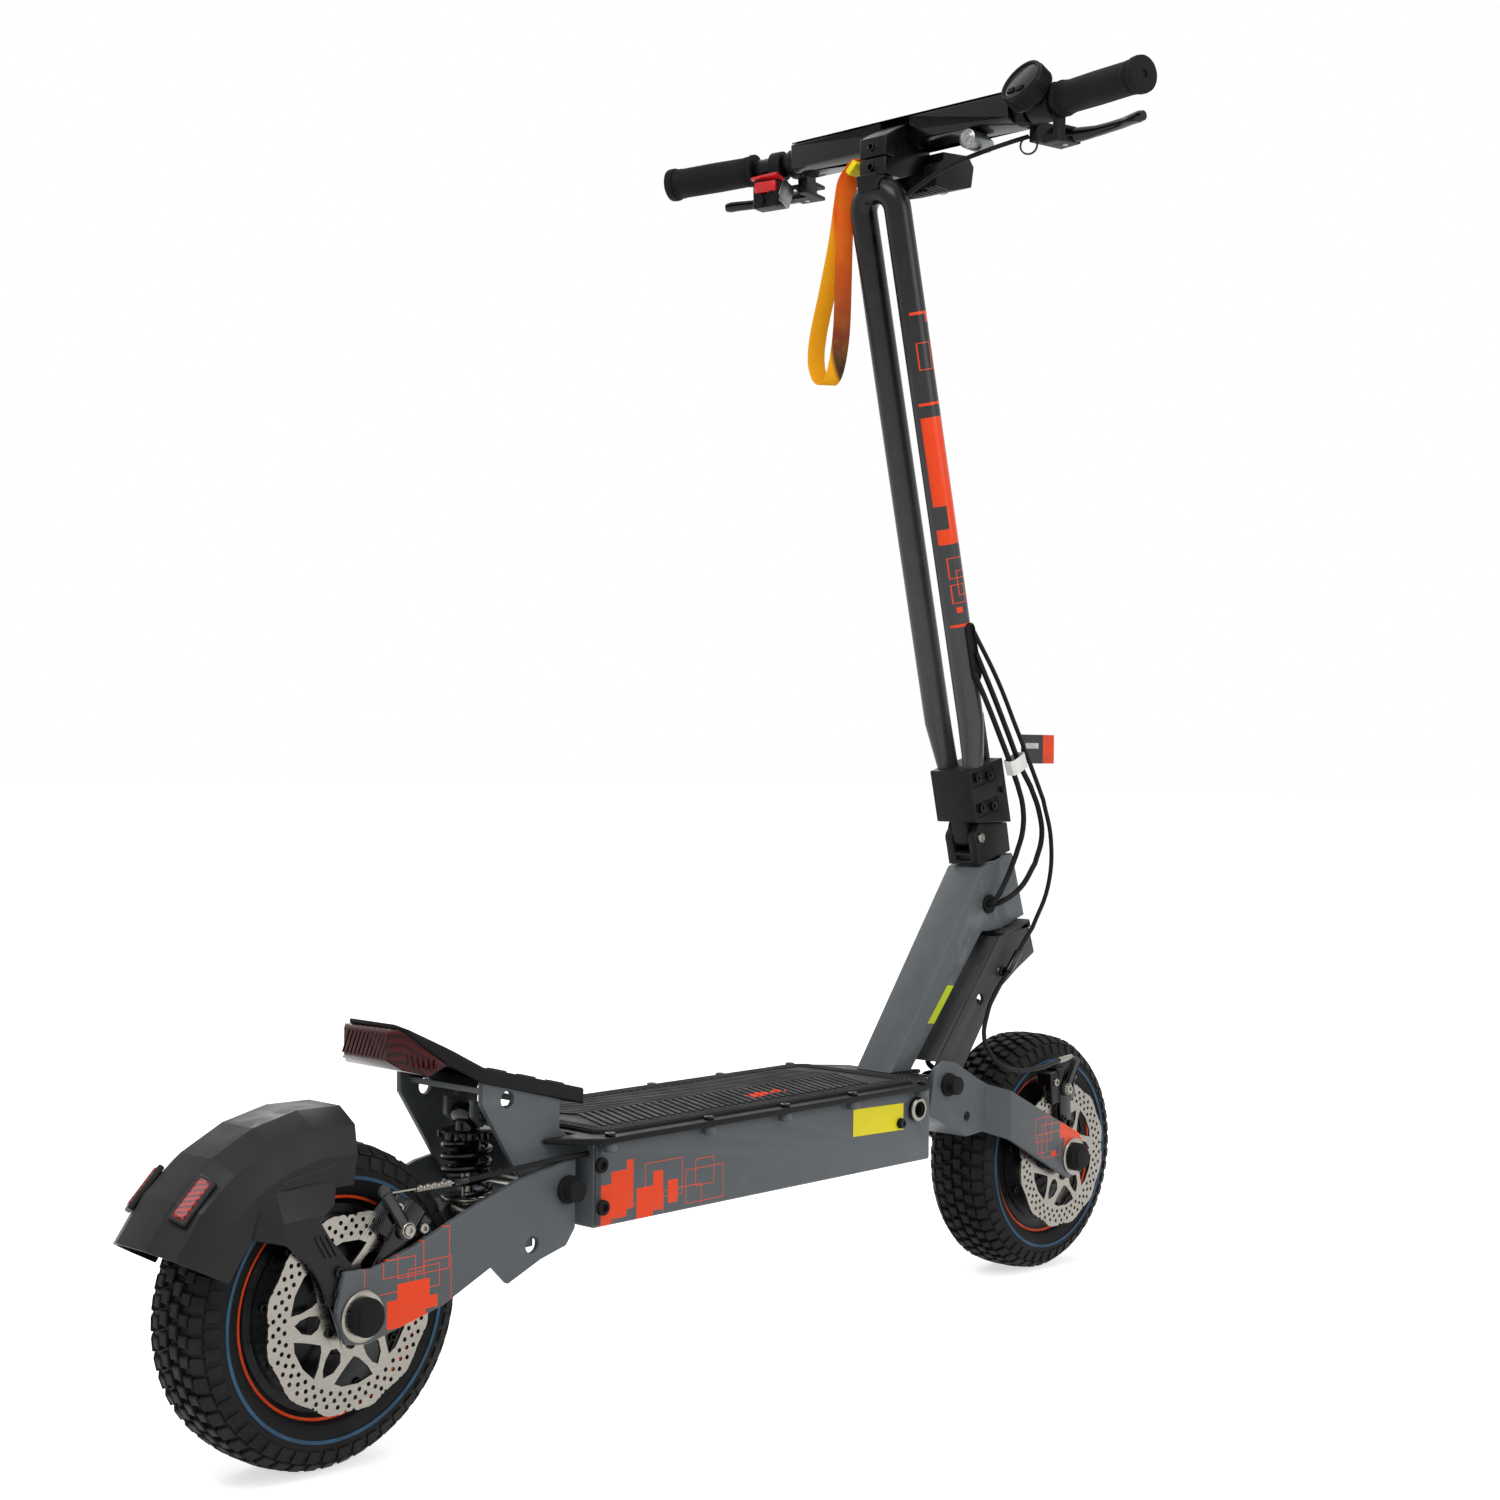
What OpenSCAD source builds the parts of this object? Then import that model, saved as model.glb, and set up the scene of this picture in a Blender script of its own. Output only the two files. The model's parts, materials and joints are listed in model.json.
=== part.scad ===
// Electric kick scooter with twin swing arms, a folding twin-tube stem and a kick tail.
// Sizes are in millimetres. Modules are drawn with the rear axle above X = 0, the ground
// at Z = 0 and the middle plane at Y = 0, then place() centres the whole length on X = 0.

/* [Overall] */
// Distance between the two axles
wheelbase = 954.5; // [880:0.5:1150]
// Outside diameter of both tyres
tyre_d = 255; // [230:1:300]
// Overall width of the handlebar, grip end to grip end
bar_width = 620; // [520:1:740]
// Length of the straight part of the stem tubes above the fold block
stem_tube_len = 560; // [450:1:680]

/* [Wheels] */
// Width of the tyres
tyre_w = 78; // [60:1:84]
// Diameter where the tyre bead sits on the rim
rim_d = 172; // [150:1:180]
// Diameter of the brake rotors
rotor_d = 156; // [120:1:156]
// Thickness of the brake rotors
rotor_t = 2; // [1.6:0.1:3]
// Diameter of the axles
axle_d = 14; // [12:0.5:16]
// Running clearance of a shaft in its bore, on the radius
run_fit = 0.05; // [0.02:0.01:0.08]

/* [Deck] */
// Width of the deck lid
deck_w = 187.6; // [160:0.2:230]
// Width of the deck tub
tub_w = 162; // [140:1:180]
// Height of the deck tub
tub_h = 72; // [55:1:86]
// Wall of the deck tub
tub_wall = 4; // [3:0.5:6]
// Thickness of the deck lid
lid_t = 5; // [4:0.5:8]
// Thickness of the rubber mat
mat_t = 4; // [2:0.5:6]

/* [Stem and steering] */
// Angle that the stem leans back
lean_angle = 14.2; // [12:0.1:17]
// Diameter of each stem tube
stem_tube_d = 28; // [22:0.5:32]
// Distance between the stem tubes' centres
stem_gap = 44; // [38:1:52]
// Diameter of the steerer
steerer_d = 28.6; // [25.4:0.1:30]
// Diameter of the fold pin
fold_pin_d = 10; // [8:0.5:12]

/* [Suspension] */
// Thickness of the swing arm plates
arm_t = 6; // [5:0.5:8]
// Diameter of the swing arm pivots
pivot_d = 14; // [12:0.5:16]
// Outside diameter of the shock springs
spring_d = 44; // [36:1:48]
// Wire diameter of the shock springs
spring_wire = 6; // [4:0.5:7]

/* [Handlebar] */
// Diameter of the handlebar at the grips and levers
bar_d = 22.2; // [21:0.1:24]
// Length of each grip
grip_len = 112; // [90:1:120]
// Outside diameter of the grips
grip_d = 32; // [28:0.5:36]

/* [Hidden] */
$fn = 48;

R = tyre_d / 2;
fx = wheelbase;
rim_r = rim_d / 2;
// Gap kept between neighbouring pieces of different bodies
gap = 0.3;

// Rear fender arc and the whole length
fender_c = [-10, R - 12.5];
fender_r = R + 41;
fender_t = 3;
fender_tail_a = 152;
fender_front_a = 82;
rear_end = -(fender_c[0] + fender_r * cos(fender_tail_a));
origin_x = (fx + R - rear_end) / 2;

// Swing arm pivots and the shock mounts, as [x, z]
rear_pivot = [R + 84.5, R + 67.5];
front_pivot = [fx - R - 67, R + 95.5];
rear_shock_top = [R + 32.5, R + 128.5];
rear_shock_low = [R + 32.5, R + 46.5];
front_shock_top = front_pivot + [102, 109];
front_shock_low = front_pivot + [35, -33];
shock_pin_r = 5;

// Swing arm plates, by their distance from the middle plane
arm_in = 62;
arm_out = arm_in + arm_t;
front_arm_in = 40;
front_arm_out = front_arm_in + arm_t;
rotor_y = -53;

// Deck heights and ends
lid_z = R + 105.5;
lid_top = lid_z + lid_t;
tub_z = lid_z - tub_h;
tub_rear = rear_pivot[0] + 18;
tub_front = front_pivot[0] - 46;
deck_half = deck_w / 2;
tub_half = tub_w / 2;
lid_outline = [[tub_rear, -57.5], [R + 65.5, -57.5], [R + 101, -deck_half],
    [fx - 281, -deck_half], [fx - 240, -50], [fx - 240, 50], [fx - 281, deck_half],
    [R + 101, deck_half], [R + 65.5, 57.5], [tub_rear, 57.5]];

// Steering axis: a point on it, and the head around it
head = [fx - 73.5, R + 287.5];
head_low = -38;
head_top = 36;
head_half = 23;
bearing_r = 20.5;
bearing_h = 9;
steerer_r = steerer_d / 2;

// Fold block, in the leaning frame of the steering axis
fold_pin = [-19, 65];
fold_r = fold_pin_d / 2;
fold_round = 15.5;
block_top = 141;
tube_u = -10;
tube_r = stem_tube_d / 2;
tube_low = block_top;
tube_high = tube_low + stem_tube_len + 22;
arch_r = stem_gap / 2;

// Handlebar: centre of the straight part and the swept ends
lean_dir = [-sin(lean_angle), cos(lean_angle)];
arch_top = [head[0] + cos(lean_angle) * tube_u + lean_dir[0] * (tube_high + arch_r),
    head[1] + sin(lean_angle) * tube_u + lean_dir[1] * (tube_high + arch_r)];
bar = [arch_top[0] + 47, arch_top[1] + 63.5];
bar_r = bar_d / 2;
bar_mid_r = bar_r + 1.6;
bar_half = bar_width / 2;
sweep = 12.4;
bend_y = 150;
bar_end = [bar[0] - (bar_half - bend_y) * tan(sweep), bar[1] - 4];

// Wheel body that both wheels share
hub_bore_r = axle_d / 2 + run_fit;
cavity_r = 60;
cavity_w = 20;

// Moves a part from the drawing frame to the centre of the whole length
module place() {
    translate([-origin_x, 0, 0]) children();
}

// An outline in X and Z, extruded from y0 to y1
module yplate(points, y0, y1) {
    translate([0, y1, 0]) rotate([90, 0, 0]) linear_extrude(y1 - y0) polygon(points);
}

// A cylinder along Y at [x, z]
module ycyl(at, r, y0, y1) {
    translate([at[0], y1, at[1]]) rotate([90, 0, 0]) cylinder(r = r, h = y1 - y0);
}

// A rounded bar in the XZ plane between two points, from y0 to y1
module ylink(a, b, r, y0, y1) {
    length = norm(b - a);
    turn = atan2(b[1] - a[1], b[0] - a[0]);
    ycyl(a, r, y0, y1);
    ycyl(b, r, y0, y1);
    translate([a[0], 0, a[1]]) rotate([0, -turn, 0]) translate([0, y0, -r])
        cube([length, y1 - y0, 2 * r]);
}

// Draws its children on both sides of the middle plane
module both_sides() {
    children();
    mirror([0, 1, 0]) children();
}

// Leaning frame: X forward, Z up along the steering axis
module lean() {
    translate([head[0], 0, head[1]]) rotate([0, -lean_angle, 0]) children();
}

// Turns a profile drawn as [radius, y] about the Y axis through [x, z]
module yturn(at, profile) {
    translate([at[0], 0, at[1]]) rotate([-90, 0, 0]) rotate_extrude($fn = 96) polygon(profile);
}

// A tube swept along points; ref is a direction the path never takes
function unit(v) = v / norm(v);
function tangent(p, i) = unit(p[min(i + 1, len(p) - 1)] - p[max(i - 1, 0)]);
module sweep_tube(p, r, ref = [0, 1, 0], sides = 8) {
    rings = [for (i = [0 : len(p) - 1])
        let (t = tangent(p, i), a = unit(cross(t, ref)), b = cross(t, a))
        for (k = [0 : sides - 1])
            p[i] + r * (cos(360 * k / sides) * a + sin(360 * k / sides) * b)];
    walls = [for (i = [0 : len(p) - 2]) for (k = [0 : sides - 1]) for (half = [0, 1])
        let (c = i * sides + k, d = i * sides + (k + 1) % sides)
        half == 0 ? [c, d, d + sides] : [c, d + sides, c + sides]];
    first = [for (k = [0 : sides - 1]) sides - 1 - k];
    last = [for (k = [0 : sides - 1]) (len(p) - 1) * sides + k];
    polyhedron(rings, concat([first], walls, [last]));
}

// ---- Chassis ----

tub_outline = [[tub_rear, -tub_half], [fx - 270, -tub_half], [tub_front, -52],
    [tub_front, 52], [fx - 270, tub_half], [tub_rear, tub_half]];

module deck_tub() {
    color("#5a5e61") place() difference() {
        union() {
            translate([0, 0, tub_z]) linear_extrude(tub_h) polygon(tub_outline);
            // Foot that the kickstand turns on
            translate([stand_at[0] - 15, tub_half - 1, tub_z + 4]) cube([30, 7, 22]);
            // Bosses for the lid screws
            for (x = screw_x) both_sides() {
                translate([x - 6, tub_half - 1, lid_z - 8]) cube([12, screw_y - tub_half + 1, 8]);
                translate([x, screw_y, lid_z - 8]) cylinder(r = 6, h = 8);
            }
        }
        translate([0, 0, tub_z + tub_wall]) linear_extrude(tub_h)
            offset(delta = -tub_wall) polygon(tub_outline);
        ycyl(stand_at, stand_pin_r + run_fit, tub_half - 8, tub_half + 8);
        ycyl(charge_at, 9, -tub_half - 1, -tub_half + tub_wall + 1);
        lid_screw_holes(2.5, lid_z - 9, lid_z + 1);
    }
}

screw_x = [R + 115, R + 235, (R + fx - 155) / 2, fx - 395, fx - 290];
screw_y = deck_half - 7;

module lid_screw_holes(r, z0, z1) {
    for (x = screw_x) both_sides() translate([x, screw_y, z0]) cylinder(r = r, h = z1 - z0);
}

module deck_lid() {
    color("#1c1d1e") place() difference() {
        translate([0, 0, lid_z]) linear_extrude(lid_t) polygon(lid_outline);
        lid_screw_holes(2.6, lid_z - 1, lid_top + 1);
    }
}

mat_inset = 14;
module deck_mat() {
    color("#2a2b2c") place() difference() {
        translate([0, 0, lid_top]) linear_extrude(mat_t) polygon([[R + 112, 26 - deck_half],
            [R + 124, mat_inset - deck_half], [fx - 296, mat_inset - deck_half],
            [fx - 284, 26 - deck_half], [fx - 284, deck_half - 26],
            [fx - 296, deck_half - mat_inset], [R + 124, deck_half - mat_inset],
            [R + 112, deck_half - 26]]);
        // Chevron grooves
        for (x = [R + 150 : 36 : fx - 340]) for (s = [-1, 1])
            translate([x, 0, lid_top + mat_t - 1.2]) rotate([0, 0, s * 60])
                translate([0, -2, 0]) cube([58, 4, 2]);
    }
}

module lid_screws() {
    color("#3a3a3c") place() for (x = screw_x) both_sides()
        translate([x, screw_y, lid_top]) difference() {
            union() {
                cylinder(r = 4.5, h = 3);
                translate([0, 0, -lid_t - 6]) cylinder(r = 2.5, h = lid_t + 7);
            }
            translate([0, 0, 1.2]) cylinder(r = 2.2, h = 3, $fn = 6);
        }
}

neck_base_x = fx - 260;
neck_outline = [[neck_base_x, lid_top], [head[0] - 35.5, head[1] + 27], [head[0] + 19.5, head[1] + 41.5],
    [head[0] + 42.5, head[1] - 27], [head[0] - 12, head[1] - 41], [head[0] - 34, head[1] - 41],
    [neck_base_x + 33, lid_top]];
// The same outline one wall further in
neck_cavity = [[neck_base_x + 6, lid_top + 4], [head[0] - 35, head[1] + 8],
    [head[0] - 26, head[1] - 37], [head[0] - 36, head[1] - 37], [neck_base_x + 29, lid_top + 4]];
neck_grommet_at = [head[0] - 24, head[1] - 12];

module neck() {
    color("#5f6568") place() difference() {
        union() {
            yplate(neck_outline, -head_half, head_half);
            lean() translate([0, 0, head_low]) cylinder(r = head_half + 1, h = head_top - head_low);
        }
        yplate(neck_cavity, 4 - head_half, head_half - 4);
        lean() {
            translate([0, 0, head_low - 20]) cylinder(r = steerer_r + 1.5, h = 100);
            translate([0, 0, head_low - 20]) cylinder(r = bearing_r, h = 20 + bearing_h);
            translate([0, 0, head_top - bearing_h]) cylinder(r = bearing_r, h = 30);
        }
        ycyl(neck_grommet_at, 8, -head_half - 2, -head_half + 8);
    }
}

module head_bearings() {
    color("silver") place() lean() for (z = [head_low, head_top - bearing_h])
        translate([0, 0, z]) difference() {
            cylinder(r = bearing_r, h = bearing_h);
            translate([0, 0, -1]) cylinder(r = steerer_r + run_fit, h = bearing_h + 2);
        }
}

module battery_pack() {
    color("#2b5f8f") place() translate([R + 190, -66, tub_z + tub_wall])
        cube([fx - 2 * R - 340, 132, tub_h - tub_wall - 8]);
}

module motor_controller() {
    color("#9a9c9e") place() translate([fx - 268 - 9, -46, tub_z + tub_wall]) {
        cube([30, 92, 30]);
        for (y = [4 : 16 : 84]) translate([2, y, 30]) cube([26, 4, 8]);
    }
}

charge_at = [fx - 292, lid_z - 20];
plug_at = charge_at - [25, 11];

// Grommet of the neck, cover of the charging socket and the screwed plug by it
module side_trims() {
    color("#161616") place() {
        difference() {
            union() {
                ycyl(neck_grommet_at, 8, -head_half, 4 - head_half);
                ycyl(neck_grommet_at, 10, -head_half - 3, -head_half);
            }
            for (d = [-4, 4])
                ycyl(neck_grommet_at + [d, 0], 3, -head_half - 4, 5 - head_half);
        }
        difference() {
            union() {
                ycyl(charge_at, 9, -tub_half, -tub_half + 14);
                ycyl(charge_at, 11, -tub_half - 3, -tub_half);
            }
            ycyl(charge_at, 6, -tub_half - 4, -tub_half + 8);
        }
        ycyl(plug_at, 5, -tub_half - 4, -tub_half);
    }
}

// Kick tail: the outline of its half seen from above, and its side profile
kick_plan = [[R - 69, -29], [R - 60, -37], [R - 32, -50], [R + 2, -60], [R + 110, -60],
    [R + 110, 60], [R + 2, 60], [R - 32, 50], [R - 60, 37], [R - 69, 29]];
lens_high = [R - 69, R + 211];
lens_low = [R - 30, R + 180.3];

module kick_plate() {
    color("#2f3031") place() difference() {
        intersection() {
            yplate([lens_high, lens_low, [R - 24, R + 177], [R - 1, R + 163.5],
                [R + 110, R + 135], [R + 110, R + 148.5], [R, R + 176.5], [R - 23, R + 190],
                [R - 59, R + 210], [R - 69, R + 215]], -70, 70);
            translate([0, 0, R + 100]) linear_extrude(140) polygon(kick_plan);
        }
        // Hollow under the top skin
        intersection() {
            yplate([[R - 60, R + 180], [R + 106, R + 120], [R + 106, R + 145], [R, R + 172.5],
                [R - 23, R + 186], [R - 52, R + 202], [R - 60, R + 202]], -70, 70);
            translate([0, 0, R + 100]) linear_extrude(140) offset(delta = -4) polygon(kick_plan);
        }
    }
}

module tail_lamp() {
    color("#5c0d12") place() intersection() {
        yplate([lens_high, [R - 75, R + 208], [R - 75, R + 186], [R - 66, R + 178],
            [R - 44, R + 172], lens_low], -70, 70);
        translate([0, 0, R + 100]) linear_extrude(140) polygon([[R - 76, -27], [R - 66, -38],
            [R - 30, -50], [R - 30, 50], [R - 66, 38], [R - 76, 27]]);
    }
}

bracket_in = 50;
bracket_out = 56;
bracket_outline = [[R + 1, R + 168.5], [R + 1, R + 145], [R + 37, R + 89], [R + 66, R + 52],
    [R + 101.7, R + 52], [R + 101.7, R + 105], [R + 86, R + 117], [R + 86, R + 146.5]];

module rear_bracket() {
    color("#5a5e61") place() difference() {
        union() {
            both_sides() yplate(bracket_outline, bracket_in, bracket_out);
            // End plate bolted to the tub
            translate([R + 98.2, -bracket_out, R + 52]) cube([4.3, 2 * bracket_out, 53]);
            // Bridge under the kick plate, with the shock's two ears
            yplate([[R + 10, R + 152], [R + 10, R + 157], [R + 62, R + 143.5], [R + 62, R + 138.5]],
                -bracket_in, bracket_in);
            for (s = [-1, 1]) yplate([[R + 22, R + 150], [R + 22, R + 128], [R + 32, R + 119],
                [R + 43, R + 128], [R + 43, R + 145]], s * 17 - 3, s * 17 + 3);
        }
        ycyl(rear_pivot, pivot_d / 2, -70, 70);
        ycyl(rear_shock_top, shock_pin_r, -30, 30);
        // Lightening hole in each side plate
        ycyl([R + 28, R + 147], 7, -70, 70);
    }
}

module rear_pins() {
    color("silver") place() {
        ycyl(rear_pivot, pivot_d / 2, -arm_out - 3, arm_out + 3);
        ycyl(rear_shock_top, shock_pin_r, -22, 22);
    }
}

stand_at = [R + 300, tub_z + 15];
stand_pin_r = 4;
stand_len = 150;
module kickstand() {
    color("#26272a") place() {
        ycyl(stand_at, stand_pin_r, tub_half - 6, tub_half + 16);
        ycyl(stand_at, 12, tub_half + 6.3, tub_half + 16);
        ylink(stand_at - [stand_len, 0], stand_at, 7, tub_half + 7, tub_half + 15);
        ycyl(stand_at - [stand_len, 0], 9, tub_half + 4, tub_half + 18);
    }
}

// ---- Fork: turns on the steering axis ----

fork_in = 30;
fork_out = 35;
fork_outline = [[front_pivot[0] - 9, front_pivot[1] + 12], [head[0] - 18, head[1] - 47],
    [head[0] + 31.5, head[1] - 34.5], [head[0] + 44, head[1] - 67], [head[0] + 13, head[1] - 83],
    [head[0] - 12, head[1] - 98.5], [head[0] - 43.5, head[1] - 133],
    [front_pivot[0] + 34.5, front_pivot[1] + 4], [front_pivot[0] + 12, front_pivot[1] - 11],
    [front_pivot[0] - 8, front_pivot[1] - 11]];

module fork_bracket() {
    color("#3a3b3d") place() difference() {
        union() {
            both_sides() {
                yplate(fork_outline, fork_in, fork_out);
                ycyl(front_pivot, 15, fork_in, fork_out);
            }
            // Rear flange between the plates
            yplate([[front_pivot[0] - 3, front_pivot[1] + 22], [head[0] - 18, head[1] - 47],
                [head[0] - 14, head[1] - 47], [front_pivot[0] + 2, front_pivot[1] + 22]],
                -fork_in, fork_in);
            // Crown under the head, and the steerer welded to it
            lean() {
                intersection() {
                    translate([-19, -fork_out, head_low - 9]) cube([50, 2 * fork_out, 7.5]);
                    cylinder(r = 44, h = 200, center = true, $fn = 96);
                }
                translate([0, 0, head_low - 4]) cylinder(r = steerer_r, h = 92);
            }
        }
        ycyl(front_pivot, pivot_d / 2, -40, 40);
        ycyl(front_shock_top, shock_pin_r, -40, 40);
        // Room for the shock's collar beside the flange
        on_shock(front_shock_top, front_shock_low) translate([0, 0, -13 - collar_t - gap])
            cylinder(r = spring_d / 2 + 1 + gap, h = collar_t + 2 * gap);
        // Through hole in the side plates
        ycyl([head[0] - 52, head[1] - 111], 6, -40, 40);
    }
}

module fork_pins() {
    color("silver") place() {
        ycyl(front_pivot, pivot_d / 2, -front_arm_out - 3, front_arm_out + 3);
        // Spacers between the fork plates and the arm
        both_sides() difference() {
            ycyl(front_pivot, 11, fork_out, front_arm_in - gap);
            ycyl(front_pivot, pivot_d / 2, fork_out - 1, front_arm_in);
        }
        ycyl(front_shock_top, shock_pin_r, -fork_out - 3, fork_out + 3);
        lean() translate([fold_pin[0], 0, fold_pin[1]]) rotate([90, 0, 0])
            cylinder(r = fold_r, h = 44, center = true);
    }
}

fold_half = 20;
lug_half = 10;
// Height of the level seam between the two fold blocks, at a distance u ahead
function seam(u) = (74.6 - sin(lean_angle) * u) / cos(lean_angle);

module ylean(points, y0, y1) {
    lean() translate([0, y1, 0]) rotate([90, 0, 0]) linear_extrude(y1 - y0) polygon(points);
}

module ylean_cyl(at, r, y0, y1) {
    lean() translate([at[0], y1, at[1]]) rotate([90, 0, 0]) cylinder(r = r, h = y1 - y0);
}

module fold_base() {
    color("#2b2d2f") place() difference() {
        union() {
            ylean([[-29, 37.5], [30, 37.5], [31, seam(31) - gap], [-19, seam(-19) - gap],
                [-29, 65]], -fold_half, fold_half);
            ylean_cyl(fold_pin, fold_round - 5, -fold_half, fold_half);
        }
        // Rounds the ears about the fold pin
        difference() {
            ylean([[-40, 65], [-19, 65], [-19, 95], [-40, 95]], -30, 30);
            ylean_cyl(fold_pin, fold_round, -31, 31);
        }
        // Slot for the upper block's lug
        ylean([[-40, 50], [2, 50], [2, 100], [-40, 100]], -lug_half - gap, lug_half + gap);
        ylean_cyl(fold_pin, fold_r, -30, 30);
        lean() translate([0, 0, 30]) cylinder(r = steerer_r, h = 24.05);
        ylean([[-40, 42], [-24, 42], [-24, 47], [-40, 47]], -9, 9);
    }
}

// ---- Stem: folds back on the fold pin ----

block_half = 21.5;
cheek = 4.5;
pocket = 1.6;
stem_bolt_at = [[-17, 97], [3, 94.5], [-17, 130], [3, 128]];
latch_at = [22, 108];

module fold_top() {
    color("#202122") place() difference() {
        union() {
            ylean([[-31, seam(-31) + gap], [30, seam(30) + gap], [30, block_top],
                [-31, block_top]], -block_half - cheek, block_half + cheek);
            // Lug that turns on the fold pin
            ylean([[-19, 65], [1, 66], [1, 90], [-28, 90], [-28, 65]], -lug_half, lug_half);
            ylean_cyl(fold_pin, 9, -lug_half, lug_half);
        }
        // Clearance round the lower block's ears
        difference() {
            ylean_cyl(fold_pin, fold_round + 0.6, -40, 40);
            ylean([[-50, 40], [50, 40], [50, 120], [-50, 120]], -lug_half, lug_half);
        }
        ylean_cyl(fold_pin, fold_r + run_fit, -20, 20);
        // Pockets in the cheeks for the clamp bolts
        both_sides() for (w = [95.8, 129])
            ylean([[-26, w - 7.5], [11, w - 7.5], [11, w + 7.5], [-26, w + 7.5]],
                block_half + cheek - pocket, 40);
        both_sides() for (at = stem_bolt_at) ylean_cyl(at, 3, 10, 40);
        // Slot at the front for the latch
        ylean([[14, 100], [40, 100], [40, 150], [14, 150]], -9, 9);
        ylean_cyl(latch_at, 3 + run_fit, -40, 40);
    }
}

module tube_end(s) {
    translate([tube_u, s * stem_gap / 2, block_top + 48]) cylinder(r = tube_r, h = 1, $fn = 32);
    translate([tube_u, s * 17, block_top]) scale([1, 0.65, 1]) cylinder(r = tube_r, h = 1, $fn = 32);
}

module stem_tubes() {
    color("#3a3c3d") place() difference() {
        lean() {
            for (s = [-1, 1]) {
                hull() tube_end(s);
                translate([tube_u, s * stem_gap / 2, block_top + 48.5])
                    cylinder(r = tube_r, h = tube_high - block_top - 48.5);
            }
            translate([tube_u, 0, tube_high]) rotate([90, 0, 90])
                rotate_extrude(angle = 180, $fn = 96) translate([arch_r, 0]) circle(r = tube_r);
        }
        // Where the cables leave the right tube and the arch
        translate(fork_shift) for (c = stem_cables)
            sweep_tube([c[0][0], c[0][1], c[0][2]], c[1], c[2]);
        translate(bar_shift) sweep_tube(cable_bar, bar_cable_r, [0, 0, 1]);
    }
}

module stem_bolts() {
    color("#101010") place() both_sides() for (at = stem_bolt_at) lean()
        translate([at[0], block_half + cheek - pocket, at[1]]) rotate([-90, 0, 0]) difference() {
            union() {
                cylinder(r = 4.6, h = 3.4, $fn = 32);
                translate([0, 0, -9]) cylinder(r = 3, h = 9, $fn = 32);
            }
            translate([0, 0, 1.2]) cylinder(r = 2.4, h = 4, $fn = 6);
        }
}

clamp_half = 17;
module bar_clamp() {
    color("#1a1a1b") place() difference() {
        union() {
            yplate([[arch_top[0] - 9, arch_top[1] + 13], [arch_top[0] - 9, arch_top[1] + 52],
                [arch_top[0] + 8, arch_top[1] + 62], [bar[0] - 12, bar[1] + 12],
                [bar[0] + 17, bar[1] + 12], [bar[0] + 17, bar[1] - 17],
                [arch_top[0] + 40, arch_top[1] + 22], [arch_top[0] + 16, arch_top[1] + 13]],
                -clamp_half, clamp_half);
            // Saddle over the top of the arch
            translate([arch_top[0] - 2, 0, arch_top[1] - 6]) rotate([0, -lean_angle, 0])
                translate([-13, -13, 6]) cube([28, 26, 16]);
        }
        ycyl(bar, bar_mid_r, -30, 30);
        lean() translate([tube_u, 0, tube_high]) rotate([90, 0, 90])
            rotate_extrude(angle = 180, $fn = 96) translate([arch_r, 0]) circle(r = tube_r);
        // Split of the rear cap
        translate([arch_top[0] - 12, -30, arch_top[1] + 31]) cube([16, 60, 1.5]);
    }
    color("#101010") place() for (z = [22, 42]) translate([arch_top[0] - 9, 0, arch_top[1] + z])
        rotate([0, -90, 0]) difference() {
            cylinder(r = 4.2, h = 4, $fn = 32);
            translate([0, 0, 1.5]) cylinder(r = 2.2, h = 4, $fn = 6);
        }
}

// Draws along the swept end of the bar: Y outwards from the bend, for s = -1 right or 1 left
module bar_end_frame(s) {
    translate([bar[0], s * bend_y, bar[1]])
        rotate([0, 0, s * sweep]) rotate([s * atan2(-4, bar_half - bend_y), 0, 0]) children();
}

bar_end_len = norm([bar_end[0] - bar[0], bar_half - bend_y, 4]);

// A cylinder along the bar from a to b, outwards from the bend
module on_bar(s, r, a, b) {
    bar_end_frame(s) rotate([-s * 90, 0, 0]) translate([0, 0, a]) cylinder(r = r, h = b - a);
}

module handlebar() {
    color("#161617") place() {
        ycyl(bar, bar_mid_r, -bend_y, bend_y);
        for (s = [-1, 1]) {
            translate([bar[0], s * bend_y, bar[1]]) sphere(r = bar_mid_r);
            on_bar(s, bar_r, 0, bar_end_len - 4);
        }
    }
}

grip_start = bar_end_len - grip_len;
module grips() {
    color("#1b1b1c") place() for (s = [-1, 1]) difference() {
        union() {
            on_bar(s, grip_d / 2, grip_start, bar_end_len - 8);
            on_bar(s, grip_d / 2 + 2, bar_end_len - 10, bar_end_len - 1.6);
            on_bar(s, grip_d / 2 + 1.5, grip_start, grip_start + 5);
        }
        on_bar(s, bar_r, grip_start - 1, bar_end_len - 4);
    }
}

box_half = 143;
module cockpit_box() {
    color("#141415") place() difference() {
        yplate([[bar[0] - 20, bar[1] - 11], [bar[0] - 21, bar[1] + 14], [bar[0] - 12, bar[1] + 18],
            [bar[0] + 22, bar[1] + 17], [bar[0] + 24, bar[1] + 2], [bar[0] + 18, bar[1] - 14],
            [bar[0] - 12, bar[1] - 14]], -box_half, box_half);
        ycyl(bar, bar_mid_r, -box_half - 1, box_half + 1);
        yplate([[bar[0] - 70, bar[1] - 30], [bar[0] - 70, bar[1] + 13], [bar[0] + 17.5, bar[1] + 13],
            [bar[0] + 17.5, bar[1] - 30]], -clamp_half - gap, clamp_half + gap);
    }
}

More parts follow.
